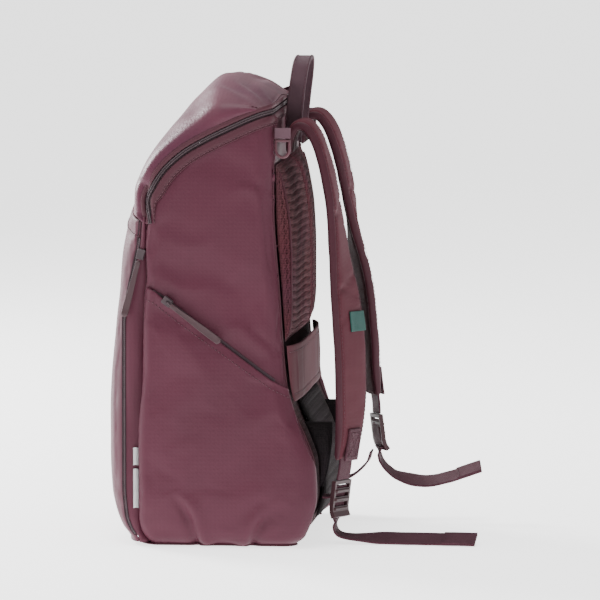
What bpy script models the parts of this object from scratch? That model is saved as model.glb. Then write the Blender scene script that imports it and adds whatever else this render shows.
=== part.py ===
"""Travel backpack: soft main compartment with a curved zip lid, front pocket, side pockets and carrying straps.

Frame: X across the back, Y from the front pocket (-Y) to the shoulder straps (+Y), Z up.
Origin on the floor at the middle of the base panel's underside. Units are metres.
"""
import math

import bmesh
import bpy
from mathutils import Vector

# ---------------------------------------------------------------- driving dimensions
HALF_W = 0.1375          # half width of the filled body
GAP = 0.0004             # clearance between neighbouring pieces
WALL = 0.0022            # fabric with its foam
R_FRONT = 0.007          # side panel's corner radius at the front
R_BACK = 0.013           # side panel's corner radius at the back
WALL_FOOT = 0.0038       # height at which the walls start, above the base panel
ZIP_HALF = 0.0052        # half width of the main zip, tape edge to tape edge
STRAP_W = 0.060          # shoulder strap's width
STRAP_T = 0.011          # shoulder strap's thickness
WEB_W = 0.025            # webbing width
WEB_T = 0.0018           # webbing thickness

# side edges of the body as height -> depth
FRONT_EDGE = [(0.0036, -0.0735), (0.014, -0.0790), (0.030, -0.0815), (0.100, -0.0815), (0.160, -0.0790),
              (0.231, -0.0785), (0.262, -0.0765), (0.312, -0.0765), (0.36, -0.0735), (0.44, -0.060)]
BACK_EDGE = [(0.0036, 0.0660), (0.014, 0.0750), (0.031, 0.0810), (0.050, 0.0850), (0.080, 0.0840),
             (0.105, 0.0760), (0.130, 0.0650), (0.160, 0.0570), (0.250, 0.0500), (0.330, 0.0445), (0.44, 0.0440)]
WIDTH = [(0.0036, 0.1240), (0.010, 0.1300), (0.025, 0.1350), (0.050, 0.1375), (0.300, 0.1375),
         (0.380, 0.1340), (0.440, 0.1260)]
# main zip seen from the side, from the front corner over the top to the back: station -> (depth, height)
ZIP_SIDE = [(0.00, -0.0720, 0.3130), (0.10, -0.0752, 0.3340), (0.20, -0.0690, 0.3500), (0.31, -0.0590, 0.3650),
            (0.44, -0.0395, 0.3825), (0.57, -0.0187, 0.3945), (0.70, 0.0039, 0.4055), (0.82, 0.0250, 0.4150),
            (0.91, 0.0370, 0.4195), (1.00, 0.0445, 0.4215)]
# crest of the lid in the middle of its width at the same stations
LID_CREST = [(0.00, -0.0937, 0.3235), (0.10, -0.0925, 0.3440), (0.20, -0.0860, 0.3620), (0.31, -0.0765, 0.3800),
             (0.44, -0.0610, 0.4025), (0.57, -0.0400, 0.4270), (0.70, -0.0120, 0.4480), (0.82, 0.0160, 0.4420),
             (0.91, 0.0350, 0.4300), (1.00, 0.0440, 0.4225)]
# front panel: height -> crown depth in the middle, height -> depth of its zip edge
FRONT_CROWN = [(0.0080, 0.0990), (0.017, 0.1060), (0.027, 0.1100), (0.037, 0.1130), (0.050, 0.1160),
               (0.080, 0.1185), (0.120, 0.1190), (0.160, 0.1180), (0.200, 0.1140), (0.224, 0.1110),
               (0.244, 0.1080), (0.264, 0.1055), (0.283, 0.1030), (0.303, 0.0985), (0.3230, 0.0940)]
FRONT_RIM = [(0.0080, 0.0850), (0.017, 0.0915), (0.030, 0.0960), (0.060, 0.0985), (0.215, 0.0985),
             (0.240, 0.0950), (0.2665, 0.0895), (0.293, 0.0840), (0.312, 0.0820), (0.33, 0.0810)]
SIDE_POCKET_TOP = [(-0.085, 0.2605), (-0.0720, 0.2509), (-0.0503, 0.2349), (0.0, 0.1979), (0.0335, 0.1732),
                   (0.0480, 0.1625), (0.0620, 0.1500), (0.0779, 0.1270), (0.090, 0.1130)]

for ob in list(bpy.data.objects):
    bpy.data.objects.remove(ob, do_unlink=True)

PARTS = bpy.data.collections.new("travel_backpack")
bpy.context.scene.collection.children.link(PARTS)
CUTTERS = bpy.data.collections.new("cutters")
bpy.context.scene.collection.children.link(CUTTERS)


# ---------------------------------------------------------------- small helpers
def along(table, t):
    """Smooth value of a table of (station, value, ...) rows at t, by Hermite pieces with limited slopes."""
    n = len(table)
    width = len(table[0]) - 1
    if t <= table[0][0]:
        row = table[0][1:]
        return row[0] if width == 1 else row
    if t >= table[-1][0]:
        row = table[-1][1:]
        return row[0] if width == 1 else row
    i = max(k for k in range(n - 1) if table[k][0] <= t)
    t0, t1 = table[i][0], table[i + 1][0]
    h = t1 - t0
    f = (t - t0) / h
    out = []
    for c in range(1, width + 1):
        def slope(k):
            if k == 0:
                return (table[1][c] - table[0][c]) / (table[1][0] - table[0][0])
            if k == n - 1:
                return (table[-1][c] - table[-2][c]) / (table[-1][0] - table[-2][0])
            a = (table[k][c] - table[k - 1][c]) / (table[k][0] - table[k - 1][0])
            b = (table[k + 1][c] - table[k][c]) / (table[k + 1][0] - table[k][0])
            return 0.0 if a * b <= 0 else 2 * a * b / (a + b)
        m0, m1 = slope(i), slope(i + 1)
        f2, f3 = f * f, f * f * f
        out.append((2 * f3 - 3 * f2 + 1) * table[i][c] + (f3 - 2 * f2 + f) * h * m0
                   + (3 * f2 - 2 * f3) * table[i + 1][c] + (f3 - f2) * h * m1)
    return out[0] if width == 1 else tuple(out)


def lerp(a, b, t):
    return a + (b - a) * t


MATS = {}


def material(name, colour, rough, metal=0.0):
    if name not in MATS:
        m = bpy.data.materials.new(name)
        m.use_nodes = True
        p = m.node_tree.nodes["Principled BSDF"]
        p.inputs["Base Color"].default_value = (*colour, 1.0)
        p.inputs["Roughness"].default_value = rough
        p.inputs["Metallic"].default_value = metal
        MATS[name] = m
    return MATS[name]


WINE = (0.138, 0.048, 0.069)
WINE_DARK = (0.085, 0.033, 0.047)
MESH_C = (0.062, 0.032, 0.035)
WEB_C = (0.120, 0.062, 0.076)
BLACK = (0.016, 0.012, 0.013)


def finish(name, mesh, colour, rough=0.6, metal=0.0, origin=None):
    """Make an object of a mesh given in world coordinates, with its own material and its origin where asked."""
    ob = bpy.data.objects.new(name, mesh)
    PARTS.objects.link(ob)
    mesh.materials.clear()
    mesh.materials.append(material(name + "_finish", colour, rough, metal))
    if origin is not None:
        o = Vector(origin)
        for v in mesh.vertices:
            v.co -= o
        ob.location = o
    mesh.shade_smooth()
    mesh.set_sharp_from_angle(angle=math.radians(40))
    return ob


def grid_mesh(name, f, nu, nv):
    bm = bmesh.new()
    bmesh.ops.create_grid(bm, x_segments=nu, y_segments=nv, size=0.5)
    for v in bm.verts:
        v.co = Vector(f(v.co.x + 0.5, v.co.y + 0.5))
    bm.normal_update()
    bmesh.ops.recalc_face_normals(bm, faces=bm.faces[:])
    me = bpy.data.meshes.new(name)
    bm.to_mesh(me)
    bm.free()
    return me


def sheet(name, f, nu, nv, thick, colour, facing, rough=0.6, origin=None, offset=-1.0):
    """A fabric panel: a grid bent to f(u, v), given its thickness behind the face that looks along `facing`."""
    me = grid_mesh(name, f, nu, nv)
    total = Vector((0, 0, 0))
    for p in me.polygons:
        total += p.normal * p.area
    if total.dot(Vector(facing)) < 0:
        me.flip_normals()
    ob = finish(name, me, colour, rough, origin=origin)
    mod = ob.modifiers.new("thickness", "SOLIDIFY")
    mod.thickness = thick
    mod.offset = offset
    mod.use_even_offset = False
    mod.use_rim = True
    return ob


def block(name, lo, hi, colour, bevel=0.0, rough=0.5, metal=0.0, origin=None, segments=2):
    bm = bmesh.new()
    bmesh.ops.create_cube(bm, size=1.0)
    lo, hi = Vector(lo), Vector(hi)
    for v in bm.verts:
        v.co = Vector(lerp(lo[i], hi[i], v.co[i] + 0.5) for i in range(3))
    me = bpy.data.meshes.new(name)
    bm.to_mesh(me)
    bm.free()
    ob = finish(name, me, colour, rough, metal, origin)
    if bevel:
        b = ob.modifiers.new("edges", "BEVEL")
        b.width = bevel
        b.segments = segments
        b.limit_method = "ANGLE"
    return ob


def smooth_path(points, n):
    """n + 1 points evenly spread by length along a Catmull-Rom curve through the given points."""
    pts = [Vector(p) for p in points]
    pts = [pts[0] * 2 - pts[1]] + pts + [pts[-1] * 2 - pts[-2]]
    fine = []
    for i in range(1, len(pts) - 2):
        for k in range(16):
            t = k / 16
            a, b, c, d = pts[i - 1], pts[i], pts[i + 1], pts[i + 2]
            fine.append(0.5 * ((2 * b) + (c - a) * t + (2 * a - 5 * b + 4 * c - d) * t * t
                               + (3 * b - a - 3 * c + d) * t ** 3))
    fine.append(pts[-2].copy())
    run = [0.0]
    for a, b in zip(fine, fine[1:]):
        run.append(run[-1] + (b - a).length)
    out = []
    for k in range(n + 1):
        want = run[-1] * k / n
        j = min(max(i for i in range(len(run)) if run[i] <= want + 1e-12), len(run) - 2)
        f = (want - run[j]) / max(run[j + 1] - run[j], 1e-12)
        out.append(fine[j].lerp(fine[j + 1], min(max(f, 0), 1)))
    return out


# ---------------------------------------------------------------- the filled body's surface
def front_edge(z):
    return along(FRONT_EDGE, z)


def back_edge(z):
    return along(BACK_EDGE, z)


def corner(d, r):
    """How far a rounded corner of radius r falls away at the distance d from its edge."""
    return 0.0 if d >= r else r - math.sqrt(max(r * r - (r - max(d, 0.0)) ** 2, 0.0))


def side_x(y, z):
    """Half width of the body at a point of its side."""
    return along(WIDTH, z) - corner(y - front_edge(z), R_FRONT) - corner(back_edge(z) - y, R_BACK)


def zip_side(s, off=0.0):
    """Depth and height of the main zip at station s, moved by off across the zip towards the lid."""
    y0, z0 = along(ZIP_SIDE, max(s - 0.01, 0.0))
    y1, z1 = along(ZIP_SIDE, min(s + 0.01, 1.0))
    y, z = along(ZIP_SIDE, s)
    n = Vector((-(z1 - z0), (y1 - y0))).normalized()
    return y + n.x * off, z + n.y * off


def spread(u):
    """Grid stations gathered towards both ends, where the corners turn."""
    return 0.5 - 0.5 * math.copysign(abs(math.cos(math.pi * u)) ** 0.8, math.cos(math.pi * u))


def top_edge(w):
    """Upper edge of a side panel: up from the front corner, then along the main zip."""
    s0 = 0.16
    if w >= s0:
        return zip_side(w, -ZIP_HALF - 0.0016)
    b = zip_side(s0, -ZIP_HALF - 0.0016)
    t = w / s0
    k = ((1 - t) ** 2, 2 * t * (1 - t), t * t)
    return (k[0] * front_edge(0.3045) + k[1] * -0.0712 + k[2] * b[0], k[0] * 0.3045 + k[1] * 0.322 + k[2] * b[1])


def side_panel_point(u, v, side, inset=0.0):
    w = spread(u)
    yt, zt = top_edge(w)
    z = lerp(WALL_FOOT, zt, v)
    fe, be = front_edge(z), back_edge(z)
    y = lerp(fe, be, w)
    top = lerp(front_edge(zt), back_edge(zt), w)
    y += v ** 6 * (yt - top)
    return side * (side_x(y, z) - inset), y, z


for side, tag in ((1, "right"), (-1, "left")):
    sheet(f"{tag}_side_panel", lambda u, v: side_panel_point(u, v, side), 18, 14, WALL, WINE, (side, 0, 0))

# front inner wall, closing the main compartment behind the front pocket
FRONT_X = HALF_W - R_FRONT - GAP - 0.0012


def front_wall_point(u, v):
    z = lerp(WALL_FOOT, 0.3055, v)
    half = min(side_x(front_edge(z), z), along(WIDTH, z) - R_FRONT) - 0.0026
    return lerp(-half, half, u), front_edge(z) + (0.0 if v < 0.98 else 0.001), z


sheet("front_inner_panel", front_wall_point, 6, 12, WALL, WINE_DARK, (0, -1, 0))


# back wall
def back_wall_point(u, v):
    zc = zip_side(1.0, -ZIP_HALF - 0.0016)[1]
    z = lerp(WALL_FOOT, zc, v)
    half = along(WIDTH, z) - R_BACK - 0.0026
    return lerp(-half, half, u), back_edge(z), z


sheet("back_panel", back_wall_point, 6, 14, WALL, WINE, (0, 1, 0))


# base panel and the board lying on it
def base_outline(grow, n=6):
    y0, y1 = front_edge(0.0036) - grow, back_edge(0.0036) + grow
    x1 = along(WIDTH, 0.0036) + grow
    r = 0.012
    pts = []
    for cx, cy, a0 in ((x1 - r, y1 - r, 0), (-x1 + r, y1 - r, 90), (-x1 + r, y0 + r, 180), (x1 - r, y0 + r, 270)):
        for k in range(n + 1):
            a = math.radians(a0 + 90 * k / n)
            pts.append((cx + r * math.cos(a), cy + r * math.sin(a)))
    return pts


def flat_plate(name, outline, z0, z1, colour, rough=0.6):
    crv = bpy.data.curves.new(name + "_outline", "CURVE")
    crv.dimensions = "2D"
    crv.fill_mode = "BOTH"
    crv.extrude = (z1 - z0) / 2
    sp = crv.splines.new("POLY")
    sp.points.add(len(outline) - 1)
    for p, (x, y) in zip(sp.points, outline):
        p.co = (x, y, 0, 1)
    sp.use_cyclic_u = True
    tmp = bpy.data.objects.new(name + "_curve", crv)
    CUTTERS.objects.link(tmp)
    tmp.location = (0, 0, (z0 + z1) / 2)
    bpy.context.view_layer.update()
    me = bpy.data.meshes.new_from_object(tmp.evaluated_get(bpy.context.evaluated_depsgraph_get()))
    me.transform(tmp.matrix_world)
    bm = bmesh.new()
    bm.from_mesh(me)
    bmesh.ops.remove_doubles(bm, verts=bm.verts, dist=1e-5)
    bm.normal_update()
    bmesh.ops.recalc_face_normals(bm, faces=bm.faces)
    bm.to_mesh(me)
    bm.free()
    bpy.data.objects.remove(tmp, do_unlink=True)
    me.name = name
    return finish(name, me, colour, rough)


flat_plate("base_panel", base_outline(0.0), 0.0, 0.0034, WINE_DARK)
flat_plate("base_stiffener", base_outline(-0.004), 0.0038, 0.0058, (0.03, 0.03, 0.03), 0.8)

# stiff sheet inside the back wall and the padded sleeve wall in front of it
sheet("back_frame_sheet", lambda u, v: (lerp(-0.110, 0.110, u), back_edge(lerp(0.03, 0.38, v)) - WALL - 0.0035,
                                         lerp(0.03, 0.38, v)), 2, 10, 0.0018, (0.04, 0.04, 0.045), (0, 1, 0))
sheet("laptop_divider", lambda u, v: (lerp(-0.118, 0.118, u), back_edge(lerp(0.0066, 0.33, v)) - 0.030 -
                                       0.012 * (1 - v), lerp(0.0066, 0.33, v)), 2, 10, 0.005, MESH_C, (0, 1, 0))


# ---------------------------------------------------------------- lid and main zip
def rim_point(w, off, out=0.0):
    """Point of the U-shaped main zip: right side front to back, across the back, left side back to front."""
    if w <= 0.38:
        s, side = w / 0.38, 1
    elif w >= 0.62:
        s, side = (1 - w) / 0.38, -1
    else:
        _, z = zip_side(1.0, off)
        y = back_edge(z)
        half = side_x(y, z)
        return Vector((lerp(half, -half, (w - 0.38) / 0.24), y + out, z))
    y, z = zip_side(s, off)
    x = side_x(min(max(y, front_edge(z)), back_edge(z)), z)
    nx, ny = 1.0, 0.0
    d = back_edge(z) - y
    if d < R_BACK:
        c = (R_BACK - max(d, 0)) / R_BACK
        nx, ny = math.sqrt(max(1 - c * c, 0)), c
    return Vector((side * (x + out * nx), y + out * ny, z))


def rim_stations(nv):
    return nv


def zip_strip(name, lo, hi, colour, nv=44, thick=0.0012, out=0.0):
    def f(u, v):
        return rim_point(lerp(0.062, 0.938, v), lerp(lo, hi, u), out)
    me = grid_mesh(name, f, 1, nv)
    c = Vector((0, 0, 0.2))
    acc = sum((p.normal.dot((p.center - Vector((0, 0, p.center.z))).normalized()) * p.area for p in me.polygons))
    if acc < 0:
        me.flip_normals()
    ob = finish(name, me, colour, 0.55)
    mod = ob.modifiers.new("thickness", "SOLIDIFY")
    mod.thickness = thick
    mod.offset = -1.0
    mod.use_even_offset = True
    return ob


zip_strip("main_zip_tape_body", -ZIP_HALF + 0.0020, -0.0005, (0.075, 0.040, 0.048))
zip_strip("main_zip_tape_lid", 0.0005, ZIP_HALF - 0.0020, (0.075, 0.040, 0.048))


def lid_point(u, v):
    """Lid surface: v runs from the front edge to the back edge, u from the right zip over the crest to the left."""
    s = v
    yb, zb = zip_side(s, ZIP_HALF + 0.0016)
    yc, zc = along(LID_CREST, s)
    if s > 0.97:
        k = (s - 0.97) / 0.03
        zc = lerp(zc, zb, k)
        yc = lerp(yc, yb, k)
    half = side_x(min(max(yb, front_edge(zb)), back_edge(zb)), zb)
    a = math.pi * u
    c, sn = math.cos(a), math.sin(a)
    p = 0.42
    x = half * math.copysign(abs(c) ** p, c)
    h = abs(sn) ** p
    return x, lerp(yb, yc, h), lerp(zb, zc, h)


LID_HINGE = (0.0, -0.0975, 0.3205)
sheet("lid_shell", lid_point, 22, 22, WALL, WINE, (0, 0, 1), origin=LID_HINGE)


# ---------------------------------------------------------------- front pocket
FRONT_HALF = 0.1290
FRONT_TOP = 0.3130


def front_panel_point(u, v):
    z0 = 0.0080
    x = FRONT_HALF * (-math.cos(math.pi * u))
    q = abs(x) / FRONT_HALF
    z = lerp(z0, FRONT_TOP + 0.0095 * (1 - q ** 2.0), v)
    rim, crown = along(FRONT_RIM, z), along(FRONT_CROWN, z)
    bulge = (1 - q ** 4.0) ** 0.55
    return x, -lerp(rim, crown, bulge), z


sheet("front_panel", front_panel_point, 20, 20, 0.0018, WINE, (0, -1, 0))

for side, tag in ((1, "right"), (-1, "left")):
    def gusset_point(u, v):
        z = lerp(0.0085, 0.2960, v)
        y0 = -along(FRONT_RIM, z) + 0.0058
        y1 = front_edge(z) - 0.0012
        if y1 - y0 < 0.0012:
            y0 = y1 - 0.0012
        return side * (FRONT_HALF + 0.0010 + 0.0006 * u), lerp(y0, y1, u), z
    sheet(f"front_gusset_{tag}", gusset_point, 2, 18, 0.0014, WINE, (side, 0, 0))

    def chain_point(u, v):
        z = lerp(0.0140, 0.2600, v)
        y = -along(FRONT_RIM, z) + 0.0012
        return side * (FRONT_HALF + 0.0014), y + 0.0036 * u, z
    sheet(f"front_zip_chain_{tag}", chain_point, 1, 18, 0.0014, (0.05, 0.028, 0.033), (side, 0, 0))

sheet("front_gusset_bottom", lambda u, v: (lerp(-0.122, 0.122, u), lerp(-0.0835, -0.0752, v),
                                            lerp(0.0052, 0.0030, v)), 4, 2, 0.0013, WINE, (0, 0, -1))

# two folded labels sewn into the seam beside the front gusset
block("side_label_upper", (0.1316, -0.0890, 0.0785), (0.1324, -0.0838, 0.0955), (0.75, 0.73, 0.74), 0.0002, 0.4,
      segments=1)
block("side_label_lower", (0.1316, -0.0895, 0.0370), (0.1324, -0.0840, 0.0750), (0.70, 0.68, 0.69), 0.0002, 0.4,
      segments=1)


# ---------------------------------------------------------------- side pockets
def pocket_x(y, z):
    """Outer surface of a side pocket: the body's side and a shallow bulge, sewn down along its edges."""
    fe, be = front_edge(z) + 0.004, back_edge(z) - 0.003
    q = min(max((y - fe) / (be - fe), 0), 1)
    top = along(SIDE_POCKET_TOP, y)
    r = min(max((z - 0.006) / (top - 0.006), 0), 1)
    return 0.0042 + 0.0048 * (math.sin(math.pi * q) ** 0.6) * (math.sin(math.pi * min(r * 1.15, 1)) ** 0.6)


def pocket_point(u, v, side):
    w = 0.5 - 0.5 * math.cos(math.pi * u)
    y = lerp(-0.0720, 0.0780, w)
    top = along(SIDE_POCKET_TOP, y) - 0.0072
    z = lerp(0.0180, top, v)
    fe, be = front_edge(z) + 0.0070, back_edge(z) - 0.0100
    y = lerp(fe, be, w)
    z = lerp(0.0180, along(SIDE_POCKET_TOP, y) - 0.0072, v)
    return side * (side_x(y, z) + WALL * 0.0 + pocket_x(y, z)), y, z


# straight run of the side pocket's zip, from its front end down towards the back
SZ_A = Vector((0, -0.0640, 0.2450))
SZ_B = Vector((0, 0.0480, 0.1625))
SZ_DIR = (SZ_B - SZ_A).normalized()
SZ_UP = Vector((0, -SZ_DIR.z, SZ_DIR.y))

for side, tag in ((1, "right"), (-1, "left")):
    sheet(f"{tag}_side_pocket", lambda u, v: pocket_point(u, v, side), 12, 12, 0.0014, WINE, (side, 0, 0))

    def side_chain_point(u, v):
        p = SZ_A.lerp(SZ_B, v) + SZ_UP * lerp(-0.0016, 0.0016, u)
        return side * (HALF_W + 0.0022), p.y, p.z
    sheet(f"{tag}_side_zip_chain", side_chain_point, 1, 6, 0.0012, (0.05, 0.028, 0.033), (side, 0, 0))


# ---------------------------------------------------------------- carrying side
def slab(name, outer, inner, nu, nv, colour, rough=0.8, origin=None):
    """A pad: an outer and an inner surface over the same stations, closed along their edges."""
    bm = bmesh.new()
    rows = []
    for f in (outer, inner):
        rows.append([[bm.verts.new(f(i / nu, j / nv)) for i in range(nu + 1)] for j in range(nv + 1)])
    a, b = rows
    for j in range(nv):
        for i in range(nu):
            bm.faces.new((a[j][i], a[j][i + 1], a[j + 1][i + 1], a[j + 1][i]))
            bm.faces.new((b[j][i], b[j + 1][i], b[j + 1][i + 1], b[j][i + 1]))
    for j in range(nv):
        bm.faces.new((a[j][0], a[j + 1][0], b[j + 1][0], b[j][0]))
        bm.faces.new((a[j][nu], b[j][nu], b[j + 1][nu], a[j + 1][nu]))
    for i in range(nu):
        bm.faces.new((a[0][i], b[0][i], b[0][i + 1], a[0][i + 1]))
        bm.faces.new((a[nv][i], a[nv][i + 1], b[nv][i + 1], b[nv][i]))
    bm.normal_update()
    bmesh.ops.recalc_face_normals(bm, faces=bm.faces[:])
    me = bpy.data.meshes.new(name)
    bm.to_mesh(me)
    bm.free()
    return finish(name, me, colour, rough, origin=origin)


PAD_OUT = [(0.198, 0.0640), (0.207, 0.0690), (0.230, 0.0712), (0.270, 0.0712), (0.310, 0.0695), (0.340, 0.0650),
           (0.360, 0.0600), (0.368, 0.0560)]
WING_OUT = [(0.055, 0.0910), (0.080, 0.0970), (0.110, 0.1000), (0.119, 0.0995)]

for side, tag in ((1, "right"), (-1, "left")):
    def pad_x(u):
        return side * lerp(0.0030, 0.1160, u)

    def pad_outer(u, v):
        z = lerp(0.198, 0.368, v)
        edge = min(u / 0.12, (1 - u) / 0.10, 1.0)
        base = back_edge(z) + 0.0016
        return pad_x(u), lerp(base + 0.006, along(PAD_OUT, z) - 0.080 * abs(pad_x(u)), math.sin(math.pi / 2 * max(edge, 0)) ** 0.6), z

    def pad_inner(u, v):
        z = lerp(0.198, 0.368, v)
        return pad_x(u), back_edge(z) + 0.0016, z
    slab(f"back_pad_{tag}", pad_outer, pad_inner, 10, 12, MESH_C)

    def wing_face(x):
        return lambda u, v: (side * x, lerp(back_edge(lerp(0.055, 0.119, v)) + 0.0022,
                                            along(WING_OUT, lerp(0.055, 0.119, v)), u), lerp(0.055, 0.119, v))
    slab(f"strap_wing_{tag}", wing_face(0.1050), wing_face(0.0930), 2, 8, BLACK)

slab("lower_back_pad", lambda u, v: (lerp(-0.076, 0.076, u), back_edge(lerp(0.022, 0.138, v)) + 0.0075,
                                     lerp(0.022, 0.138, v)),
     lambda u, v: (lerp(-0.076, 0.076, u), back_edge(lerp(0.022, 0.138, v)) + 0.0016, lerp(0.022, 0.138, v)),
     4, 10, MESH_C)


def band_point(u, v):
    x = 0.1210 * -math.cos(math.pi * u)
    z = lerp(0.1410, 0.1945, v)
    base = back_edge(z) + 0.0042
    return x, lerp(base, 0.0690, (1 - (abs(x) / 0.1210) ** 4) ** 0.7), z


sheet("luggage_band", band_point, 16, 4, 0.0016, WINE, (0, 1, 0))


def ribbon(points, turns, n):
    """Stations along a band: centre, across and outward vectors. turns: (fraction, degrees) about the band's run."""
    pts = smooth_path(points, n)
    out = []
    for i, p in enumerate(pts):
        t = (pts[min(i + 1, n)] - pts[max(i - 1, 0)]).normalized()
        side = Vector((1, 0, 0)) - t * t.x
        side.normalize()
        normal = side.cross(t).normalized()
        a = math.radians(along(turns, i / n))
        s = side * math.cos(a) + normal * math.sin(a)
        out.append((p, s, s.cross(t).normalized()))
    return out


def band(name, stations, width, thick, nu, colour, rough=0.7, origin=None, lift=0.0, first=0, last=None, shift=0.0):
    """A strap along ribbon stations. width is a number or a function of the fraction along it."""
    st = stations[first:(last + 1 if last is not None else None)]
    n = len(st) - 1

    def f(u, v):
        k = min(int(round(v * n)), n)
        p, s, m = st[k]
        w = width(v) if callable(width) else width
        return p + s * ((u - 0.5) * w + shift) + m * lift
    me = grid_mesh(name, f, nu, n)
    me.update()
    acc = sum(p.normal.dot(st[min(int(n / 2), n)][2]) for p in me.polygons)
    if acc < 0:
        me.flip_normals()
    ob = finish(name, me, colour, rough, origin=origin)
    mod = ob.modifiers.new("thickness", "SOLIDIFY")
    mod.thickness = thick
    mod.offset = 0.0
    mod.use_even_offset = False
    return ob


# shoulder straps: path of the right one as (across, depth, height), from where it is sewn on to its lower end
STRAP_R = [(0.0620, 0.0560, 0.3760), (0.0620, 0.0570, 0.3900), (0.0625, 0.0620, 0.4015), (0.0635, 0.0710, 0.4030),
           (0.0650, 0.0800, 0.3930), (0.0670, 0.0885, 0.3720), (0.0710, 0.0960, 0.3400), (0.0750, 0.1010, 0.3050),
           (0.0800, 0.1060, 0.2700), (0.0850, 0.1120, 0.2300), (0.0885, 0.1160, 0.1850), (0.0905, 0.1170, 0.1400),
           (0.0910, 0.1150, 0.1080), (0.0905, 0.1110, 0.0820)]
STRAP_L = [(-x, y, z) for x, y, z in STRAP_R[:-3]] + [(-0.0900, 0.1185, 0.1530), (-0.0900, 0.1220, 0.1240)]
TURN_R = [(0.0, 0.0), (0.30, 0.0), (0.50, 3.0), (0.70, 6.0), (0.85, 14.0), (1.0, 22.0)]
STRAP_PIVOT = {1: (0.0620, 0.0560, 0.3860), -1: (-0.0620, 0.0560, 0.3860)}
N_STRAP = 36


def strap_width(v):
    return lerp(0.046, STRAP_W, min(v / 0.25, 1.0)) - 0.022 * max((v - 0.80) / 0.20, 0.0) ** 1.6


def lock_mesh(name, centre, across, up, colour, origin):
    """Ladder lock: a flat frame with three slots, cut as missing cells of a thickened grid, and a thumb tongue."""
    xs = [-0.0165, -0.0130, 0.0130, 0.0165]
    zs = [0.0170, 0.0135, 0.0095, 0.0050, 0.0010, -0.0040, -0.0085, -0.0135, -0.0185]
    holes = {(1, 1), (1, 3), (1, 5)}
    bm = bmesh.new()
    bmesh.ops.create_grid(bm, x_segments=3, y_segments=len(zs) - 1, size=0.5)
    bm.verts.ensure_lookup_table()
    for v in bm.verts:
        i, j = int(round((v.co.x + 0.5) * 3)), int(round((v.co.y + 0.5) * (len(zs) - 1)))
        bend = 0.0035 * max(0.0, (j - 6) / 2) ** 2
        normal = across.cross(up)
        v.co = centre + across * xs[i] + up * zs[j] + normal * -bend
    gone = []
    for f in bm.faces:
        d = f.calc_center_median() - centre
        x, z = d.dot(across), d.dot(up)
        for (i, j) in holes:
            if xs[i] < x < xs[i + 1] and zs[j + 1] < z < zs[j]:
                gone.append(f)
    bmesh.ops.delete(bm, geom=gone, context="FACES")
    bm.normal_update()
    bmesh.ops.recalc_face_normals(bm, faces=bm.faces[:])
    me = bpy.data.meshes.new(name)
    bm.to_mesh(me)
    bm.free()
    ob = finish(name, me, colour, 0.45, origin=origin)
    mod = ob.modifiers.new("thickness", "SOLIDIFY")
    mod.thickness = 0.0040
    mod.offset = 0.0
    return ob


TAIL_TURN = [(0.0, 0.0), (0.20, -6.0), (0.40, -18.0), (1.0, -18.0)]
TAIL_R = [(0.0905, 0.1030, 0.0215), (0.0905, 0.1015, 0.0170), (0.0905, 0.1040, 0.0105), (0.0905, 0.1120, 0.0070),
          (0.0905, 0.1320, 0.0056), (0.0915, 0.1660, 0.0054), (0.0935, 0.2050, 0.0054), (0.0950, 0.2390, 0.0054)]
TAIL_L = [(-0.0900, 0.1275, 0.0655), (-0.0900, 0.1300, 0.0580), (-0.0905, 0.1365, 0.0500), (-0.0910, 0.1475, 0.0430),
          (-0.0925, 0.1720, 0.0380), (-0.0940, 0.1970, 0.0425), (-0.0955, 0.2280, 0.0530)]

for side, tag, path, tail, lock_c in ((1, "right", STRAP_R, TAIL_R, Vector((0.0905, 0.1065, 0.0445))),
                                      (-1, "left", STRAP_L, TAIL_L, Vector((-0.0900, 0.1265, 0.0880)))):
    turns = [(t, side * -a) for t, a in TURN_R]
    st = ribbon(path, turns, N_STRAP)
    pivot = STRAP_PIVOT[side]
    band(f"shoulder_strap_{tag}", st, strap_width, STRAP_T, 3, WINE, origin=pivot)
    out = STRAP_T / 2 + WEB_T / 2 + 0.0006
    band(f"strap_end_patch_{tag}", st, WEB_W, WEB_T, 1, WEB_C, origin=pivot, lift=out, first=33)
    if side == 1:
        band("strap_label", st, 0.032, 0.0008, 2, (0.055, 0.141, 0.127), origin=pivot,
             lift=STRAP_T / 2 + 0.0010, first=22, last=24, shift=-0.0085)
    p, s, m = st[-1]
    up = ((p - lock_c) - s * (p - lock_c).dot(s)).normalized()
    lock_pivot = lock_c + up * 0.0170
    lock_mesh(f"ladder_lock_{tag}", lock_c, s.normalized(), up, (0.075, 0.038, 0.043), lock_pivot)
    band(f"webbing_tail_{tag}", ribbon(tail, TAIL_TURN, 26), WEB_W, WEB_T, 1, WEB_C, origin=lock_pivot)
    foot = Vector((side * 0.0905, 0.0905, 0.0500 if side == 1 else 0.0500))
    if side == 1:
        run = [foot + Vector((0, 0, -0.004)), foot + Vector((0, 0.0035, -0.0045)), foot + Vector((0, 0.0080, -0.0035))]
    else:
        run = [foot + Vector((0, 0.0, -0.010)), Vector((-0.0900, 0.1020, 0.0440)), Vector((-0.0900, 0.1150, 0.0560)),
               Vector((-0.0900, 0.1200, 0.0680))]
    band(f"adjuster_webbing_{tag}", ribbon(run, [(0, 0.0), (1, 0.0)], 8), WEB_W, WEB_T, 1, WEB_C)

# grab handle: a webbing loop standing between the straps, leaning a little towards the back
HANDLE = [(0.0300, 0.0550, 0.3850), (0.0302, 0.0552, 0.4000), (0.0330, 0.0575, 0.4250), (0.0325, 0.0600, 0.4450),
          (0.0230, 0.0618, 0.4595), (0.0, 0.0625, 0.4645)]
HANDLE += [(-x, y, z) for x, y, z in reversed(HANDLE[:-1])]
hp = smooth_path(HANDLE, 30)


def handle_point(u, v):
    p = hp[min(int(round(v * 30)), 30)]
    return p.x, p.y + (u - 0.5) * 0.0160, p.z


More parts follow.
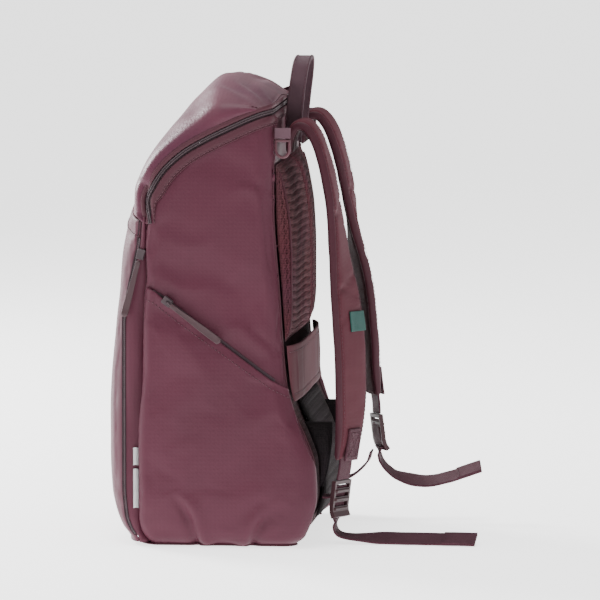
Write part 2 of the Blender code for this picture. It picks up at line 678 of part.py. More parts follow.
HANDLE_PIVOT = (0.0, 0.0551, 0.3880)
sheet("grab_handle", handle_point, 2, 30, 0.0030, WEB_C, (0, 0, 1), origin=HANDLE_PIVOT, offset=0.0)

# D-rings hanging from webbing tabs at the back top corners
for side, tag in ((1, "right"), (-1, "left")):
    x = side * 0.1205
    block(f"dring_tab_{tag}", (x - 0.0012, 0.0462, 0.3948), (x + 0.0012, 0.0618, 0.4050), WEB_C, 0.0005, segments=1)
    crv = bpy.data.curves.new(f"dring_{tag}_wire", "CURVE")
    crv.dimensions = "3D"
    crv.bevel_depth = 0.0015
    crv.bevel_resolution = 2
    pts = [(0.0475, 0.3925), (0.0540, 0.3925), (0.0605, 0.3925)]
    for k in range(13):
        a = math.pi * k / 12
        pts.append((0.0540 + 0.0065 * math.cos(a), 0.3840 - 0.0075 * math.sin(a)))
    sp = crv.splines.new("POLY")
    sp.points.add(len(pts) - 1)
    for q, (y, z) in zip(sp.points, pts):
        q.co = (0.0, y - 0.0540, z - 0.3925, 1.0)
    sp.use_cyclic_u = True
    ring = bpy.data.objects.new(f"dring_{tag}", crv)
    ring.location = (x, 0.0540, 0.3925)
    crv.materials.append(material(f"dring_{tag}_finish", (0.10, 0.045, 0.06), 0.4))
    PARTS.objects.link(ring)

# ---------------------------------------------------------------- zip sliders and pulls
for side, tag in ((1, "right"), (-1, "left")):
    x0 = side * (HALF_W + 0.0026)
    a = math.atan2(SZ_DIR.z, SZ_DIR.y)

    def on_side(cy, cz, x, side=side):
        p = SZ_A + SZ_DIR * cy + SZ_UP * cz
        return Vector((side * x, p.y, p.z))

    def oriented(name, lo, hi, colour, bevel, origin, metal=0.0, rough=0.45, side=side):
        """Block in the zip's own axes: x out of the side, first along the zip, second across it."""
        bm = bmesh.new()
        bmesh.ops.create_cube(bm, size=1.0)
        for v in bm.verts:
            c = [lerp(lo[i], hi[i], v.co[i] + 0.5) for i in range(3)]
            v.co = on_side(c[1], c[2], c[0], side)
        bm.normal_update()
        bmesh.ops.recalc_face_normals(bm, faces=bm.faces[:])
        me = bpy.data.meshes.new(name)
        bm.to_mesh(me)
        bm.free()
        ob = finish(name, me, colour, rough, metal, origin)
        b = ob.modifiers.new("edges", "BEVEL")
        b.width = bevel
        b.segments = 1
        return ob
    o = on_side(0.0150, 0.0, HALF_W + 0.0095)
    oriented(f"{tag}_side_zip_slider", (HALF_W + 0.0030, 0.0060, -0.0040), (HALF_W + 0.0075, 0.0160, 0.0040),
             (0.06, 0.035, 0.04), 0.0008, o)
    oriented(f"{tag}_side_zip_pull", (HALF_W + 0.0105, 0.0140, -0.0040), (HALF_W + 0.0125, 0.0760, 0.0040),
             (0.16, 0.11, 0.12), 0.0007, o)

# front pocket: slider on the right edge's zip, its long pull hanging along the panel's edge
FZ_TOP = Vector((FRONT_HALF + 0.0016, -0.0815, 0.2840))
FZ_LOW = Vector((FRONT_HALF + 0.0016, -0.0950, 0.2340))
FZ_DIR = (FZ_LOW - FZ_TOP).normalized()


def front_block(name, lo, hi, colour, origin):
    bm = bmesh.new()
    bmesh.ops.create_cube(bm, size=1.0)
    across = Vector((0, FZ_DIR.z, -FZ_DIR.y))
    for v in bm.verts:
        c = [lerp(lo[i], hi[i], v.co[i] + 0.5) for i in range(3)]
        v.co = FZ_TOP + Vector((c[0], 0, 0)) + FZ_DIR * c[1] + across * c[2]
    bm.normal_update()
    bmesh.ops.recalc_face_normals(bm, faces=bm.faces[:])
    me = bpy.data.meshes.new(name)
    bm.to_mesh(me)
    bm.free()
    ob = finish(name, me, colour, 0.45, 0.0, origin)
    b = ob.modifiers.new("edges", "BEVEL")
    b.width = 0.0007
    b.segments = 1
    return ob


FZ_PIVOT = FZ_TOP + Vector((0.0066, 0, 0)) + FZ_DIR * 0.0062
front_block("front_zip_slider", (0.0006, -0.0040, -0.0040), (0.0050, 0.0060, 0.0040), (0.06, 0.035, 0.04), FZ_PIVOT)
front_block("front_zip_pull", (0.0056, 0.0068, -0.0040), (0.0076, 0.0640, 0.0040), (0.11, 0.05, 0.065), FZ_PIVOT)

# main zip: slider at the middle of the back, its pull hanging between the handle's legs
block("main_zip_slider", (-0.0045, 0.0455, 0.4170), (0.0045, 0.0495, 0.4280), (0.06, 0.035, 0.04), 0.0008,
      segments=1)
block("main_zip_pull", (-0.0040, 0.0500, 0.3880), (0.0040, 0.0520, 0.4195), (0.11, 0.05, 0.065), 0.0007,
      origin=(0.0, 0.0510, 0.4200), segments=1)
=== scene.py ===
import math

import bmesh
import bpy
import numpy as np
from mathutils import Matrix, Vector, noise


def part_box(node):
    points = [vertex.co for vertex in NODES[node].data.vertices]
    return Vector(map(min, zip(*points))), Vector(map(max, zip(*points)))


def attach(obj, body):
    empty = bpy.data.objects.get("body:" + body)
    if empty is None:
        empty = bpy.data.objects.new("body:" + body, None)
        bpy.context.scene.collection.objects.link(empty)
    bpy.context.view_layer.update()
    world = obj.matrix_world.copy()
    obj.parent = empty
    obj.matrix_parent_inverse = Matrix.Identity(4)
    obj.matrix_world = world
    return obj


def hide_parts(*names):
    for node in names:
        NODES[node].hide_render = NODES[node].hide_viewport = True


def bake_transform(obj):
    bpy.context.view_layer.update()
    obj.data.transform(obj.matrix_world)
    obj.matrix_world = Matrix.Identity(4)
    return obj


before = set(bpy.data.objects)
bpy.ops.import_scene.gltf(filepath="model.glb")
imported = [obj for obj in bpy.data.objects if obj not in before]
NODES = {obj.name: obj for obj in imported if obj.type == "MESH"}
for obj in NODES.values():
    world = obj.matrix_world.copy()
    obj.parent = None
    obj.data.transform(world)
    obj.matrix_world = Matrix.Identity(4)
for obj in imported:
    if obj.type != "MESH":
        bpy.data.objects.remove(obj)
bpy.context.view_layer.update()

HALF_W = 0.1375          # half width of the filled body
GAP = 0.0004             # clearance between neighbouring pieces
WALL = 0.0022            # fabric with its foam
R_FRONT = 0.007          # side panel's corner radius at the front
R_BACK = 0.013           # side panel's corner radius at the back
WALL_FOOT = 0.0038       # height at which the walls start, above the base panel
ZIP_HALF = 0.0052        # half width of the main zip, tape edge to tape edge
STRAP_W = 0.060          # shoulder strap's width
STRAP_T = 0.011          # shoulder strap's thickness
WEB_W = 0.025            # webbing width
WEB_T = 0.0018           # webbing thickness

# side edges of the body as height -> depth
FRONT_EDGE = [(0.0036, -0.0735), (0.014, -0.0790), (0.030, -0.0815), (0.100, -0.0815), (0.160, -0.0790),
              (0.231, -0.0785), (0.262, -0.0765), (0.312, -0.0765), (0.36, -0.0735), (0.44, -0.060)]
BACK_EDGE = [(0.0036, 0.0660), (0.014, 0.0750), (0.031, 0.0810), (0.050, 0.0850), (0.080, 0.0840),
             (0.105, 0.0760), (0.130, 0.0650), (0.160, 0.0570), (0.250, 0.0500), (0.330, 0.0445), (0.44, 0.0440)]
WIDTH = [(0.0036, 0.1240), (0.010, 0.1300), (0.025, 0.1350), (0.050, 0.1375), (0.300, 0.1375),
         (0.380, 0.1340), (0.440, 0.1260)]
# main zip seen from the side, from the front corner over the top to the back: station -> (depth, height)
ZIP_SIDE = [(0.00, -0.0720, 0.3130), (0.10, -0.0752, 0.3340), (0.20, -0.0690, 0.3500), (0.31, -0.0590, 0.3650),
            (0.44, -0.0395, 0.3825), (0.57, -0.0187, 0.3945), (0.70, 0.0039, 0.4055), (0.82, 0.0250, 0.4150),
            (0.91, 0.0370, 0.4195), (1.00, 0.0445, 0.4215)]
# crest of the lid in the middle of its width at the same stations
LID_CREST = [(0.00, -0.0937, 0.3235), (0.10, -0.0925, 0.3440), (0.20, -0.0860, 0.3620), (0.31, -0.0765, 0.3800),
             (0.44, -0.0610, 0.4025), (0.57, -0.0400, 0.4270), (0.70, -0.0120, 0.4480), (0.82, 0.0160, 0.4420),
             (0.91, 0.0350, 0.4300), (1.00, 0.0440, 0.4225)]
# front panel: height -> crown depth in the middle, height -> depth of its zip edge
FRONT_CROWN = [(0.0080, 0.0990), (0.017, 0.1060), (0.027, 0.1100), (0.037, 0.1130), (0.050, 0.1160),
               (0.080, 0.1185), (0.120, 0.1190), (0.160, 0.1180), (0.200, 0.1140), (0.224, 0.1110),
               (0.244, 0.1080), (0.264, 0.1055), (0.283, 0.1030), (0.303, 0.0985), (0.3230, 0.0940)]
FRONT_RIM = [(0.0080, 0.0850), (0.017, 0.0915), (0.030, 0.0960), (0.060, 0.0985), (0.215, 0.0985),
             (0.240, 0.0950), (0.2665, 0.0895), (0.293, 0.0840), (0.312, 0.0820), (0.33, 0.0810)]
SIDE_POCKET_TOP = [(-0.085, 0.2605), (-0.0720, 0.2509), (-0.0503, 0.2349), (0.0, 0.1979), (0.0335, 0.1732),
                   (0.0480, 0.1625), (0.0620, 0.1500), (0.0779, 0.1270), (0.090, 0.1130)]


FRONT_HALF = 0.1290
FRONT_TOP = 0.3130



def along(table, t):
    """Smooth value of a table of (station, value, ...) rows at t, by Hermite pieces with limited slopes."""
    n = len(table)
    width = len(table[0]) - 1
    if t <= table[0][0]:
        row = table[0][1:]
        return row[0] if width == 1 else row
    if t >= table[-1][0]:
        row = table[-1][1:]
        return row[0] if width == 1 else row
    i = max(k for k in range(n - 1) if table[k][0] <= t)
    t0, t1 = table[i][0], table[i + 1][0]
    h = t1 - t0
    f = (t - t0) / h
    out = []
    for c in range(1, width + 1):
        def slope(k):
            if k == 0:
                return (table[1][c] - table[0][c]) / (table[1][0] - table[0][0])
            if k == n - 1:
                return (table[-1][c] - table[-2][c]) / (table[-1][0] - table[-2][0])
            a = (table[k][c] - table[k - 1][c]) / (table[k][0] - table[k - 1][0])
            b = (table[k + 1][c] - table[k][c]) / (table[k + 1][0] - table[k][0])
            return 0.0 if a * b <= 0 else 2 * a * b / (a + b)
        m0, m1 = slope(i), slope(i + 1)
        f2, f3 = f * f, f * f * f
        out.append((2 * f3 - 3 * f2 + 1) * table[i][c] + (f3 - 2 * f2 + f) * h * m0
                   + (3 * f2 - 2 * f3) * table[i + 1][c] + (f3 - f2) * h * m1)
    return out[0] if width == 1 else tuple(out)


def lerp(a, b, t):
    return a + (b - a) * t



def smooth_path(points, n):
    """n + 1 points evenly spread by length along a Catmull-Rom curve through the given points."""
    pts = [Vector(p) for p in points]
    pts = [pts[0] * 2 - pts[1]] + pts + [pts[-1] * 2 - pts[-2]]
    fine = []
    for i in range(1, len(pts) - 2):
        for k in range(16):
            t = k / 16
            a, b, c, d = pts[i - 1], pts[i], pts[i + 1], pts[i + 2]
            fine.append(0.5 * ((2 * b) + (c - a) * t + (2 * a - 5 * b + 4 * c - d) * t * t
                               + (3 * b - a - 3 * c + d) * t ** 3))
    fine.append(pts[-2].copy())
    run = [0.0]
    for a, b in zip(fine, fine[1:]):
        run.append(run[-1] + (b - a).length)
    out = []
    for k in range(n + 1):
        want = run[-1] * k / n
        j = min(max(i for i in range(len(run)) if run[i] <= want + 1e-12), len(run) - 2)
        f = (want - run[j]) / max(run[j + 1] - run[j], 1e-12)
        out.append(fine[j].lerp(fine[j + 1], min(max(f, 0), 1)))
    return out





def front_edge(z):
    return along(FRONT_EDGE, z)


def back_edge(z):
    return along(BACK_EDGE, z)


def corner(d, r):
    """How far a rounded corner of radius r falls away at the distance d from its edge."""
    return 0.0 if d >= r else r - math.sqrt(max(r * r - (r - max(d, 0.0)) ** 2, 0.0))


def side_x(y, z):
    """Half width of the body at a point of its side."""
    return along(WIDTH, z) - corner(y - front_edge(z), R_FRONT) - corner(back_edge(z) - y, R_BACK)


def zip_side(s, off=0.0):
    """Depth and height of the main zip at station s, moved by off across the zip towards the lid."""
    y0, z0 = along(ZIP_SIDE, max(s - 0.01, 0.0))
    y1, z1 = along(ZIP_SIDE, min(s + 0.01, 1.0))
    y, z = along(ZIP_SIDE, s)
    n = Vector((-(z1 - z0), (y1 - y0))).normalized()
    return y + n.x * off, z + n.y * off


def spread(u):
    """Grid stations gathered towards both ends, where the corners turn."""
    return 0.5 - 0.5 * math.copysign(abs(math.cos(math.pi * u)) ** 0.8, math.cos(math.pi * u))


def top_edge(w):
    """Upper edge of a side panel: up from the front corner, then along the main zip."""
    s0 = 0.16
    if w >= s0:
        return zip_side(w, -ZIP_HALF - 0.0016)
    b = zip_side(s0, -ZIP_HALF - 0.0016)
    t = w / s0
    k = ((1 - t) ** 2, 2 * t * (1 - t), t * t)
    return (k[0] * front_edge(0.3045) + k[1] * -0.0712 + k[2] * b[0], k[0] * 0.3045 + k[1] * 0.322 + k[2] * b[1])


def side_panel_point(u, v, side, inset=0.0):
    w = spread(u)
    yt, zt = top_edge(w)
    z = lerp(WALL_FOOT, zt, v)
    fe, be = front_edge(z), back_edge(z)
    y = lerp(fe, be, w)
    top = lerp(front_edge(zt), back_edge(zt), w)
    y += v ** 6 * (yt - top)
    return side * (side_x(y, z) - inset), y, z



def rim_point(w, off, out=0.0):
    """Point of the U-shaped main zip: right side front to back, across the back, left side back to front."""
    if w <= 0.38:
        s, side = w / 0.38, 1
    elif w >= 0.62:
        s, side = (1 - w) / 0.38, -1
    else:
        _, z = zip_side(1.0, off)
        y = back_edge(z)
        half = side_x(y, z)
        return Vector((lerp(half, -half, (w - 0.38) / 0.24), y + out, z))
    y, z = zip_side(s, off)
    x = side_x(min(max(y, front_edge(z)), back_edge(z)), z)
    nx, ny = 1.0, 0.0
    d = back_edge(z) - y
    if d < R_BACK:
        c = (R_BACK - max(d, 0)) / R_BACK
        nx, ny = math.sqrt(max(1 - c * c, 0)), c
    return Vector((side * (x + out * nx), y + out * ny, z))



def lid_point(u, v):
    """Lid surface: v runs from the front edge to the back edge, u from the right zip over the crest to the left."""
    s = v
    yb, zb = zip_side(s, ZIP_HALF + 0.0016)
    yc, zc = along(LID_CREST, s)
    if s > 0.97:
        k = (s - 0.97) / 0.03
        zc = lerp(zc, zb, k)
        yc = lerp(yc, yb, k)
    half = side_x(min(max(yb, front_edge(zb)), back_edge(zb)), zb)
    a = math.pi * u
    c, sn = math.cos(a), math.sin(a)
    p = 0.42
    x = half * math.copysign(abs(c) ** p, c)
    h = abs(sn) ** p
    return x, lerp(yb, yc, h), lerp(zb, zc, h)



def front_panel_point(u, v):
    z0 = 0.0080
    x = FRONT_HALF * (-math.cos(math.pi * u))
    q = abs(x) / FRONT_HALF
    z = lerp(z0, FRONT_TOP + 0.0095 * (1 - q ** 2.0), v)
    rim, crown = along(FRONT_RIM, z), along(FRONT_CROWN, z)
    bulge = (1 - q ** 4.0) ** 0.55
    return x, -lerp(rim, crown, bulge), z



PAD_OUT = [(0.198, 0.0640), (0.207, 0.0690), (0.230, 0.0712), (0.270, 0.0712), (0.310, 0.0695), (0.340, 0.0650),
           (0.360, 0.0600), (0.368, 0.0560)]
WING_OUT = [(0.055, 0.0910), (0.080, 0.0970), (0.110, 0.1000), (0.119, 0.0995)]


def band_point(u, v):
    x = 0.1210 * -math.cos(math.pi * u)
    z = lerp(0.1410, 0.1945, v)
    base = back_edge(z) + 0.0042
    return x, lerp(base, 0.0690, (1 - (abs(x) / 0.1210) ** 4) ** 0.7), z



def ribbon(points, turns, n):
    """Stations along a band: centre, across and outward vectors. turns: (fraction, degrees) about the band's run."""
    pts = smooth_path(points, n)
    out = []
    for i, p in enumerate(pts):
        t = (pts[min(i + 1, n)] - pts[max(i - 1, 0)]).normalized()
        side = Vector((1, 0, 0)) - t * t.x
        side.normalize()
        normal = side.cross(t).normalized()
        a = math.radians(along(turns, i / n))
        s = side * math.cos(a) + normal * math.sin(a)
        out.append((p, s, s.cross(t).normalized()))
    return out



STRAP_R = [(0.0620, 0.0560, 0.3760), (0.0620, 0.0570, 0.3900), (0.0625, 0.0620, 0.4015), (0.0635, 0.0710, 0.4030),
           (0.0650, 0.0800, 0.3930), (0.0670, 0.0885, 0.3720), (0.0710, 0.0960, 0.3400), (0.0750, 0.1010, 0.3050),
           (0.0800, 0.1060, 0.2700), (0.0850, 0.1120, 0.2300), (0.0885, 0.1160, 0.1850), (0.0905, 0.1170, 0.1400),
           (0.0910, 0.1150, 0.1080), (0.0905, 0.1110, 0.0820)]
STRAP_L = [(-x, y, z) for x, y, z in STRAP_R[:-3]] + [(-0.0900, 0.1185, 0.1530), (-0.0900, 0.1220, 0.1240)]
TURN_R = [(0.0, 0.0), (0.30, 0.0), (0.50, 3.0), (0.70, 6.0), (0.85, 14.0), (1.0, 22.0)]
STRAP_PIVOT = {1: (0.0620, 0.0560, 0.3860), -1: (-0.0620, 0.0560, 0.3860)}
N_STRAP = 36


def strap_width(v):
    return lerp(0.046, STRAP_W, min(v / 0.25, 1.0)) - 0.022 * max((v - 0.80) / 0.20, 0.0) ** 1.6



TAIL_TURN = [(0.0, 0.0), (0.20, -6.0), (0.40, -18.0), (1.0, -18.0)]
TAIL_R = [(0.0905, 0.1030, 0.0215), (0.0905, 0.1015, 0.0170), (0.0905, 0.1040, 0.0105), (0.0905, 0.1120, 0.0070),
          (0.0905, 0.1320, 0.0056), (0.0915, 0.1660, 0.0054), (0.0935, 0.2050, 0.0054), (0.0950, 0.2390, 0.0054)]
TAIL_L = [(-0.0900, 0.1275, 0.0655), (-0.0900, 0.1300, 0.0580), (-0.0905, 0.1365, 0.0500), (-0.0910, 0.1475, 0.0430),
          (-0.0925, 0.1720, 0.0380), (-0.0940, 0.1970, 0.0425), (-0.0955, 0.2280, 0.0530)]


HANDLE = [(0.0300, 0.0550, 0.3850), (0.0302, 0.0552, 0.4000), (0.0330, 0.0575, 0.4250), (0.0325, 0.0600, 0.4450),
          (0.0230, 0.0618, 0.4595), (0.0, 0.0625, 0.4645)]
HANDLE += [(-x, y, z) for x, y, z in reversed(HANDLE[:-1])]

SZ_A = Vector((0, -0.0640, 0.2450))
SZ_B = Vector((0, 0.0480, 0.1625))
SZ_DIR = (SZ_B - SZ_A).normalized()
SZ_UP = Vector((0, -SZ_DIR.z, SZ_DIR.y))


FZ_TOP = Vector((FRONT_HALF + 0.0016, -0.0815, 0.2840))
FZ_LOW = Vector((FRONT_HALF + 0.0016, -0.0950, 0.2340))
FZ_DIR = (FZ_LOW - FZ_TOP).normalized()




# ---------------------------------------------------------------- materials
def new_mat(name, colour, rough, sheen=0.0, spec=0.5, metal=0.0, coat=0.0):
    m = bpy.data.materials.new(name)
    m.use_nodes = True
    nt = m.node_tree
    p = nt.nodes["Principled BSDF"]
    p.inputs["Base Color"].default_value = (*colour, 1)
    p.inputs["Roughness"].default_value = rough
    p.inputs["Metallic"].default_value = metal
    p.inputs["Specular IOR Level"].default_value = spec
    p.inputs["Sheen Weight"].default_value = sheen
    p.inputs["Sheen Roughness"].default_value = 0.45
    p.inputs["Sheen Tint"].default_value = (0.80, 0.52, 0.58, 1)
    p.inputs["Coat Weight"].default_value = coat
    return m, nt, p


def node(nt, kind, **kw):
    n = nt.nodes.new(kind)
    for k, v in kw.items():
        if k in n.inputs:
            n.inputs[k].default_value = v
        else:
            setattr(n, k, v)
    return n


def vary(nt, p, colour, coord, amount=0.10, scale=14.0, dirt=0.0, tint=None):
    """Base colour that drifts a little over the cloth, with a faint painted highlight on raised edges: convex places
    mixed towards a lighter copy of the colour.
    """
    n = node(nt, "ShaderNodeTexNoise", Scale=scale, Detail=5.0, Roughness=0.55)
    nt.links.new(coord, n.inputs["Vector"])
    ramp = node(nt, "ShaderNodeValToRGB")
    lo = [c * (1 - amount) for c in colour]
    hi = [min(c * (1 + amount), 1) for c in (tint or colour)]
    ramp.color_ramp.elements[0].position = 0.34
    ramp.color_ramp.elements[1].position = 0.66
    ramp.color_ramp.elements[0].color = (*lo, 1)
    ramp.color_ramp.elements[1].color = (*hi, 1)
    nt.links.new(n.outputs["Fac"], ramp.inputs["Fac"])
    # painted highlight: where Pointiness marks a raised edge, the base colour is mixed up to 35% towards a copy 1.5
    # times lighter
    geo = node(nt, "ShaderNodeNewGeometry")
    edge = node(nt, "ShaderNodeMapRange")
    edge.inputs["From Min"].default_value = 0.52
    edge.inputs["From Max"].default_value = 0.62
    edge.inputs["To Max"].default_value = 0.35
    nt.links.new(geo.outputs["Pointiness"], edge.inputs["Value"])
    mix = node(nt, "ShaderNodeMix", data_type="RGBA")
    nt.links.new(edge.outputs["Result"], mix.inputs["Factor"])
    nt.links.new(ramp.outputs["Color"], mix.inputs["A"])
    mix.inputs["B"].default_value = (*[min(c * 1.5 + 0.01, 1) for c in colour], 1)
    nt.links.new(mix.outputs["Result"], p.inputs["Base Color"])
    return n


def coated_fabric(name, colour, rough=0.50, sheen=0.25, weave=1500.0, amount=0.07, bump=0.20, tint=None, spec=0.20):
    """Fine plain weave under a soft coating: two crossed thread waves, cloth slubs and a satin roughness drift."""
    m, nt, p = new_mat(name, colour, rough, sheen, spec)
    tc = node(nt, "ShaderNodeTexCoord")
    vary(nt, p, colour, tc.outputs["Object"], amount, 11.0, tint=tint)
    waves = []
    for axis in ("Y", "Z"):
        w = node(nt, "ShaderNodeTexWave", wave_type="BANDS", bands_direction=axis, Scale=weave / 6.2832 / 3.1416,
                 Distortion=0.6, Detail=1.0)
        w.inputs["Detail Scale"].default_value = 2.0
        nt.links.new(tc.outputs["Object"], w.inputs["Vector"])
        waves.append(w)
    mul = node(nt, "ShaderNodeMath", operation="MULTIPLY")
    nt.links.new(waves[0].outputs["Fac"], mul.inputs[0])
    nt.links.new(waves[1].outputs["Fac"], mul.inputs[1])
    slub = node(nt, "ShaderNodeTexNoise", Scale=240.0, Detail=4.0, Roughness=0.7)
    nt.links.new(tc.outputs["Object"], slub.inputs["Vector"])
    add = node(nt, "ShaderNodeMath", operation="MULTIPLY_ADD")
    nt.links.new(slub.outputs["Fac"], add.inputs[0])
    add.inputs[1].default_value = 0.8
    nt.links.new(mul.outputs[0], add.inputs[2])
    b = node(nt, "ShaderNodeBump", Strength=bump, Distance=0.00035)
    nt.links.new(add.outputs[0], b.inputs["Height"])
    soft = node(nt, "ShaderNodeTexNoise", Scale=26.0, Detail=3.0)
    nt.links.new(tc.outputs["Object"], soft.inputs["Vector"])
    b2 = node(nt, "ShaderNodeBump", Strength=0.25, Distance=0.002)
    nt.links.new(soft.outputs["Fac"], b2.inputs["Height"])
    nt.links.new(b2.outputs["Normal"], b.inputs["Normal"])
    nt.links.new(b.outputs["Normal"], p.inputs["Normal"])
    r = node(nt, "ShaderNodeMapRange")
    r.inputs["To Min"].default_value = rough - 0.06
    r.inputs["To Max"].default_value = rough + 0.07
    nt.links.new(soft.outputs["Fac"], r.inputs["Value"])
    nt.links.new(r.outputs["Result"], p.inputs["Roughness"])
    return m


def air_mesh(name, colour, cell=420.0, depth=0.9, rough=0.85):
    """Open spacer mesh: small dark cells between lighter threads."""
    m, nt, p = new_mat(name, colour, rough, 0.02, 0.10)
    tc = node(nt, "ShaderNodeTexCoord")
    v = node(nt, "ShaderNodeTexVoronoi", feature="F1", Scale=cell, Randomness=0.25)
    nt.links.new(tc.outputs["Object"], v.inputs["Vector"])
    ramp = node(nt, "ShaderNodeValToRGB")
    ramp.color_ramp.elements[0].position = 0.15
    ramp.color_ramp.elements[1].position = 0.60
    ramp.color_ramp.elements[0].color = (*[c * 0.45 for c in colour], 1)
    ramp.color_ramp.elements[1].color = (*[min(c * 1.5, 1) for c in colour], 1)
    nt.links.new(v.outputs["Distance"], ramp.inputs["Fac"])
    n = node(nt, "ShaderNodeTexNoise", Scale=18.0, Detail=3.0)
    nt.links.new(tc.outputs["Object"], n.inputs["Vector"])
    mix = node(nt, "ShaderNodeMix", data_type="RGBA", blend_type="MULTIPLY")
    mix.inputs["Factor"].default_value = 0.35
    nt.links.new(ramp.outputs["Color"], mix.inputs["A"])
    nt.links.new(n.outputs["Color"], mix.inputs["B"])
    nt.links.new(mix.outputs["Result"], p.inputs["Base Color"])
    b = node(nt, "ShaderNodeBump", Strength=depth, Distance=0.0006)
    nt.links.new(v.outputs["Distance"], b.inputs["Height"])
    nt.links.new(b.outputs["Normal"], p.inputs["Normal"])
    return m


def webbing(name, colour, rough=0.62, pitch=0.0016, cross=0.0011):
    """Ribbed webbing in the strap's own length (V) and width (U), both in metres."""
    m, nt, p = new_mat(name, colour, rough, 0.03, 0.14)
    uv = node(nt, "ShaderNodeUVMap", uv_map="strap")
    sep = node(nt, "ShaderNodeSeparateXYZ")
    nt.links.new(uv.outputs["UV"], sep.inputs[0])
    heights = []
    for out, size, phase in (("Y", pitch, 0.0), ("X", cross, 0.0)):
        mul = node(nt, "ShaderNodeMath", operation="MULTIPLY")
        nt.links.new(sep.outputs[out], mul.inputs[0])
        mul.inputs[1].default_value = 2 * math.pi / size
        s = node(nt, "ShaderNodeMath", operation="SINE")
        nt.links.new(mul.outputs[0], s.inputs[0])
        heights.append(s)
    prod = node(nt, "ShaderNodeMath", operation="MULTIPLY")
    nt.links.new(heights[0].outputs[0], prod.inputs[0])
    nt.links.new(heights[1].outputs[0], prod.inputs[1])
    b = node(nt, "ShaderNodeBump", Strength=0.7, Distance=0.0005)
    nt.links.new(prod.outputs[0], b.inputs["Height"])
    nt.links.new(b.outputs["Normal"], p.inputs["Normal"])
    tc = node(nt, "ShaderNodeTexCoord")
    n = node(nt, "ShaderNodeTexNoise", Scale=60.0, Detail=4.0)
    nt.links.new(tc.outputs["Object"], n.inputs["Vector"])
    shade = node(nt, "ShaderNodeMapRange")
    shade.inputs["From Min"].default_value = -1.0
    shade.inputs["To Min"].default_value = 0.25
    nt.links.new(prod.outputs[0], shade.inputs["Value"])
    mixf = node(nt, "ShaderNodeMath", operation="MULTIPLY")
    nt.links.new(shade.outputs["Result"], mixf.inputs[0])
    nt.links.new(n.outputs["Fac"], mixf.inputs[1])
    mix = node(nt, "ShaderNodeMix", data_type="RGBA")
    nt.links.new(mixf.outputs[0], mix.inputs["Factor"])
    mix.inputs["A"].default_value = (*[c * 0.72 for c in colour], 1)
    mix.inputs["B"].default_value = (*[min(c * 1.45, 1) for c in colour], 1)
    nt.links.new(mix.outputs["Result"], p.inputs["Base Color"])
    return m


def moulded(name, colour, rough=0.42, grain=900.0, spec=0.28, metal=0.0, bump=0.12):
    """Moulded plastic, enamelled metal or smooth leather: fine grain, slight colour drift, painted highlight on raised
    edges.
    """
    m, nt, p = new_mat(name, colour, rough, 0.0, spec, metal)
    tc = node(nt, "ShaderNodeTexCoord")
    vary(nt, p, colour, tc.outputs["Object"], 0.12, 60.0)
    n = node(nt, "ShaderNodeTexNoise", Scale=grain, Detail=3.0)
    nt.links.new(tc.outputs["Object"], n.inputs["Vector"])
    b = node(nt, "ShaderNodeBump", Strength=bump, Distance=0.0003)
    nt.links.new(n.outputs["Fac"], b.inputs["Height"])
    nt.links.new(b.outputs["Normal"], p.inputs["Normal"])
    r = node(nt, "ShaderNodeMapRange")
    r.inputs["To Min"].default_value = rough - 0.08
    r.inputs["To Max"].default_value = rough + 0.10
    nt.links.new(n.outputs["Fac"], r.inputs["Value"])
    nt.links.new(r.outputs["Result"], p.inputs["Roughness"])
    return m


C_WINE = (0.066, 0.0135, 0.0262)
C_LID = (0.069, 0.0145, 0.0330)
M_BODY = coated_fabric("wine_cloth", C_WINE, 0.52, 0.06)
M_LID = coated_fabric("lid_cloth", C_LID, 0.44, 0.10, tint=(0.098, 0.030, 0.044))
M_STRAP = coated_fabric("strap_cloth", (0.078, 0.0215, 0.0300), 0.70, 0.01, spec=0.08)
M_BAND = coated_fabric("band_cloth", (0.088, 0.0320, 0.0400), 0.70, 0.01, spec=0.08)
M_LINING = coated_fabric("lining_cloth", (0.045, 0.022, 0.028), 0.62, 0.05, 900.0)
M_PIPE = coated_fabric("seam_cloth", (0.045, 0.010, 0.017), 0.55, 0.04)
M_WELT = coated_fabric("welt_cloth", (0.056, 0.0160, 0.0240), 0.52, 0.04)
M_MESH = air_mesh("pad_mesh", (0.070, 0.023, 0.029))
M_MESH_D = air_mesh("strap_mesh", (0.034, 0.013, 0.016), 520.0)
M_BLACK = air_mesh("wing_mesh", (0.011, 0.008, 0.009), 600.0)
M_WEB = webbing("strap_webbing", (0.082, 0.0300, 0.0430))
M_WEB_H = webbing("handle_webbing", (0.094, 0.050, 0.064), 0.60, 0.0013, 0.0009)
M_ZIP = moulded("zip_teeth", (0.040, 0.024, 0.029), 0.38, 1500.0)
M_TAPE = webbing("zip_tape_cloth", (0.044, 0.026, 0.032), 0.6, 0.0007, 0.0007)
M_METAL = moulded("slider_enamel", (0.030, 0.017, 0.021), 0.34, 700.0, 0.4, 0.2)
M_LEATHER = moulded("pull_leather", (0.038, 0.014, 0.018), 0.50, 1200.0, 0.4)
M_BUCKLE = moulded("buckle_plastic", (0.036, 0.0125, 0.0160), 0.44, 1100.0)
M_RING = moulded("ring_plastic", (0.070, 0.022, 0.031), 0.32, 800.0)
M_TEAL = webbing("label_weave", (0.026, 0.095, 0.082), 0.6, 0.0009, 0.0009)
M_WHITE = webbing("label_white", (0.62, 0.61, 0.62), 0.42, 0.0008, 0.0008)
M_THREAD = moulded("thread", (0.060, 0.020, 0.029), 0.5, 1500.0)
M_BOARD = moulded("board_plastic", (0.030, 0.030, 0.033), 0.55, 500.0)


# ---------------------------------------------------------------- surface helpers
def nrm(P):
    """Unit normals of a grid of points, from its own neighbours."""
    du = np.gradient(P, axis=1)
    dv = np.gradient(P, axis=0)
    n = np.cross(du, dv)
    return n / np.maximum(np.linalg.norm(n, axis=2, keepdims=True), 1e-12)


def grid_of(f, nu, nv):
    return np.array([[f(i / nu, j / nv) for i in range(nu + 1)] for j in range(nv + 1)], float)


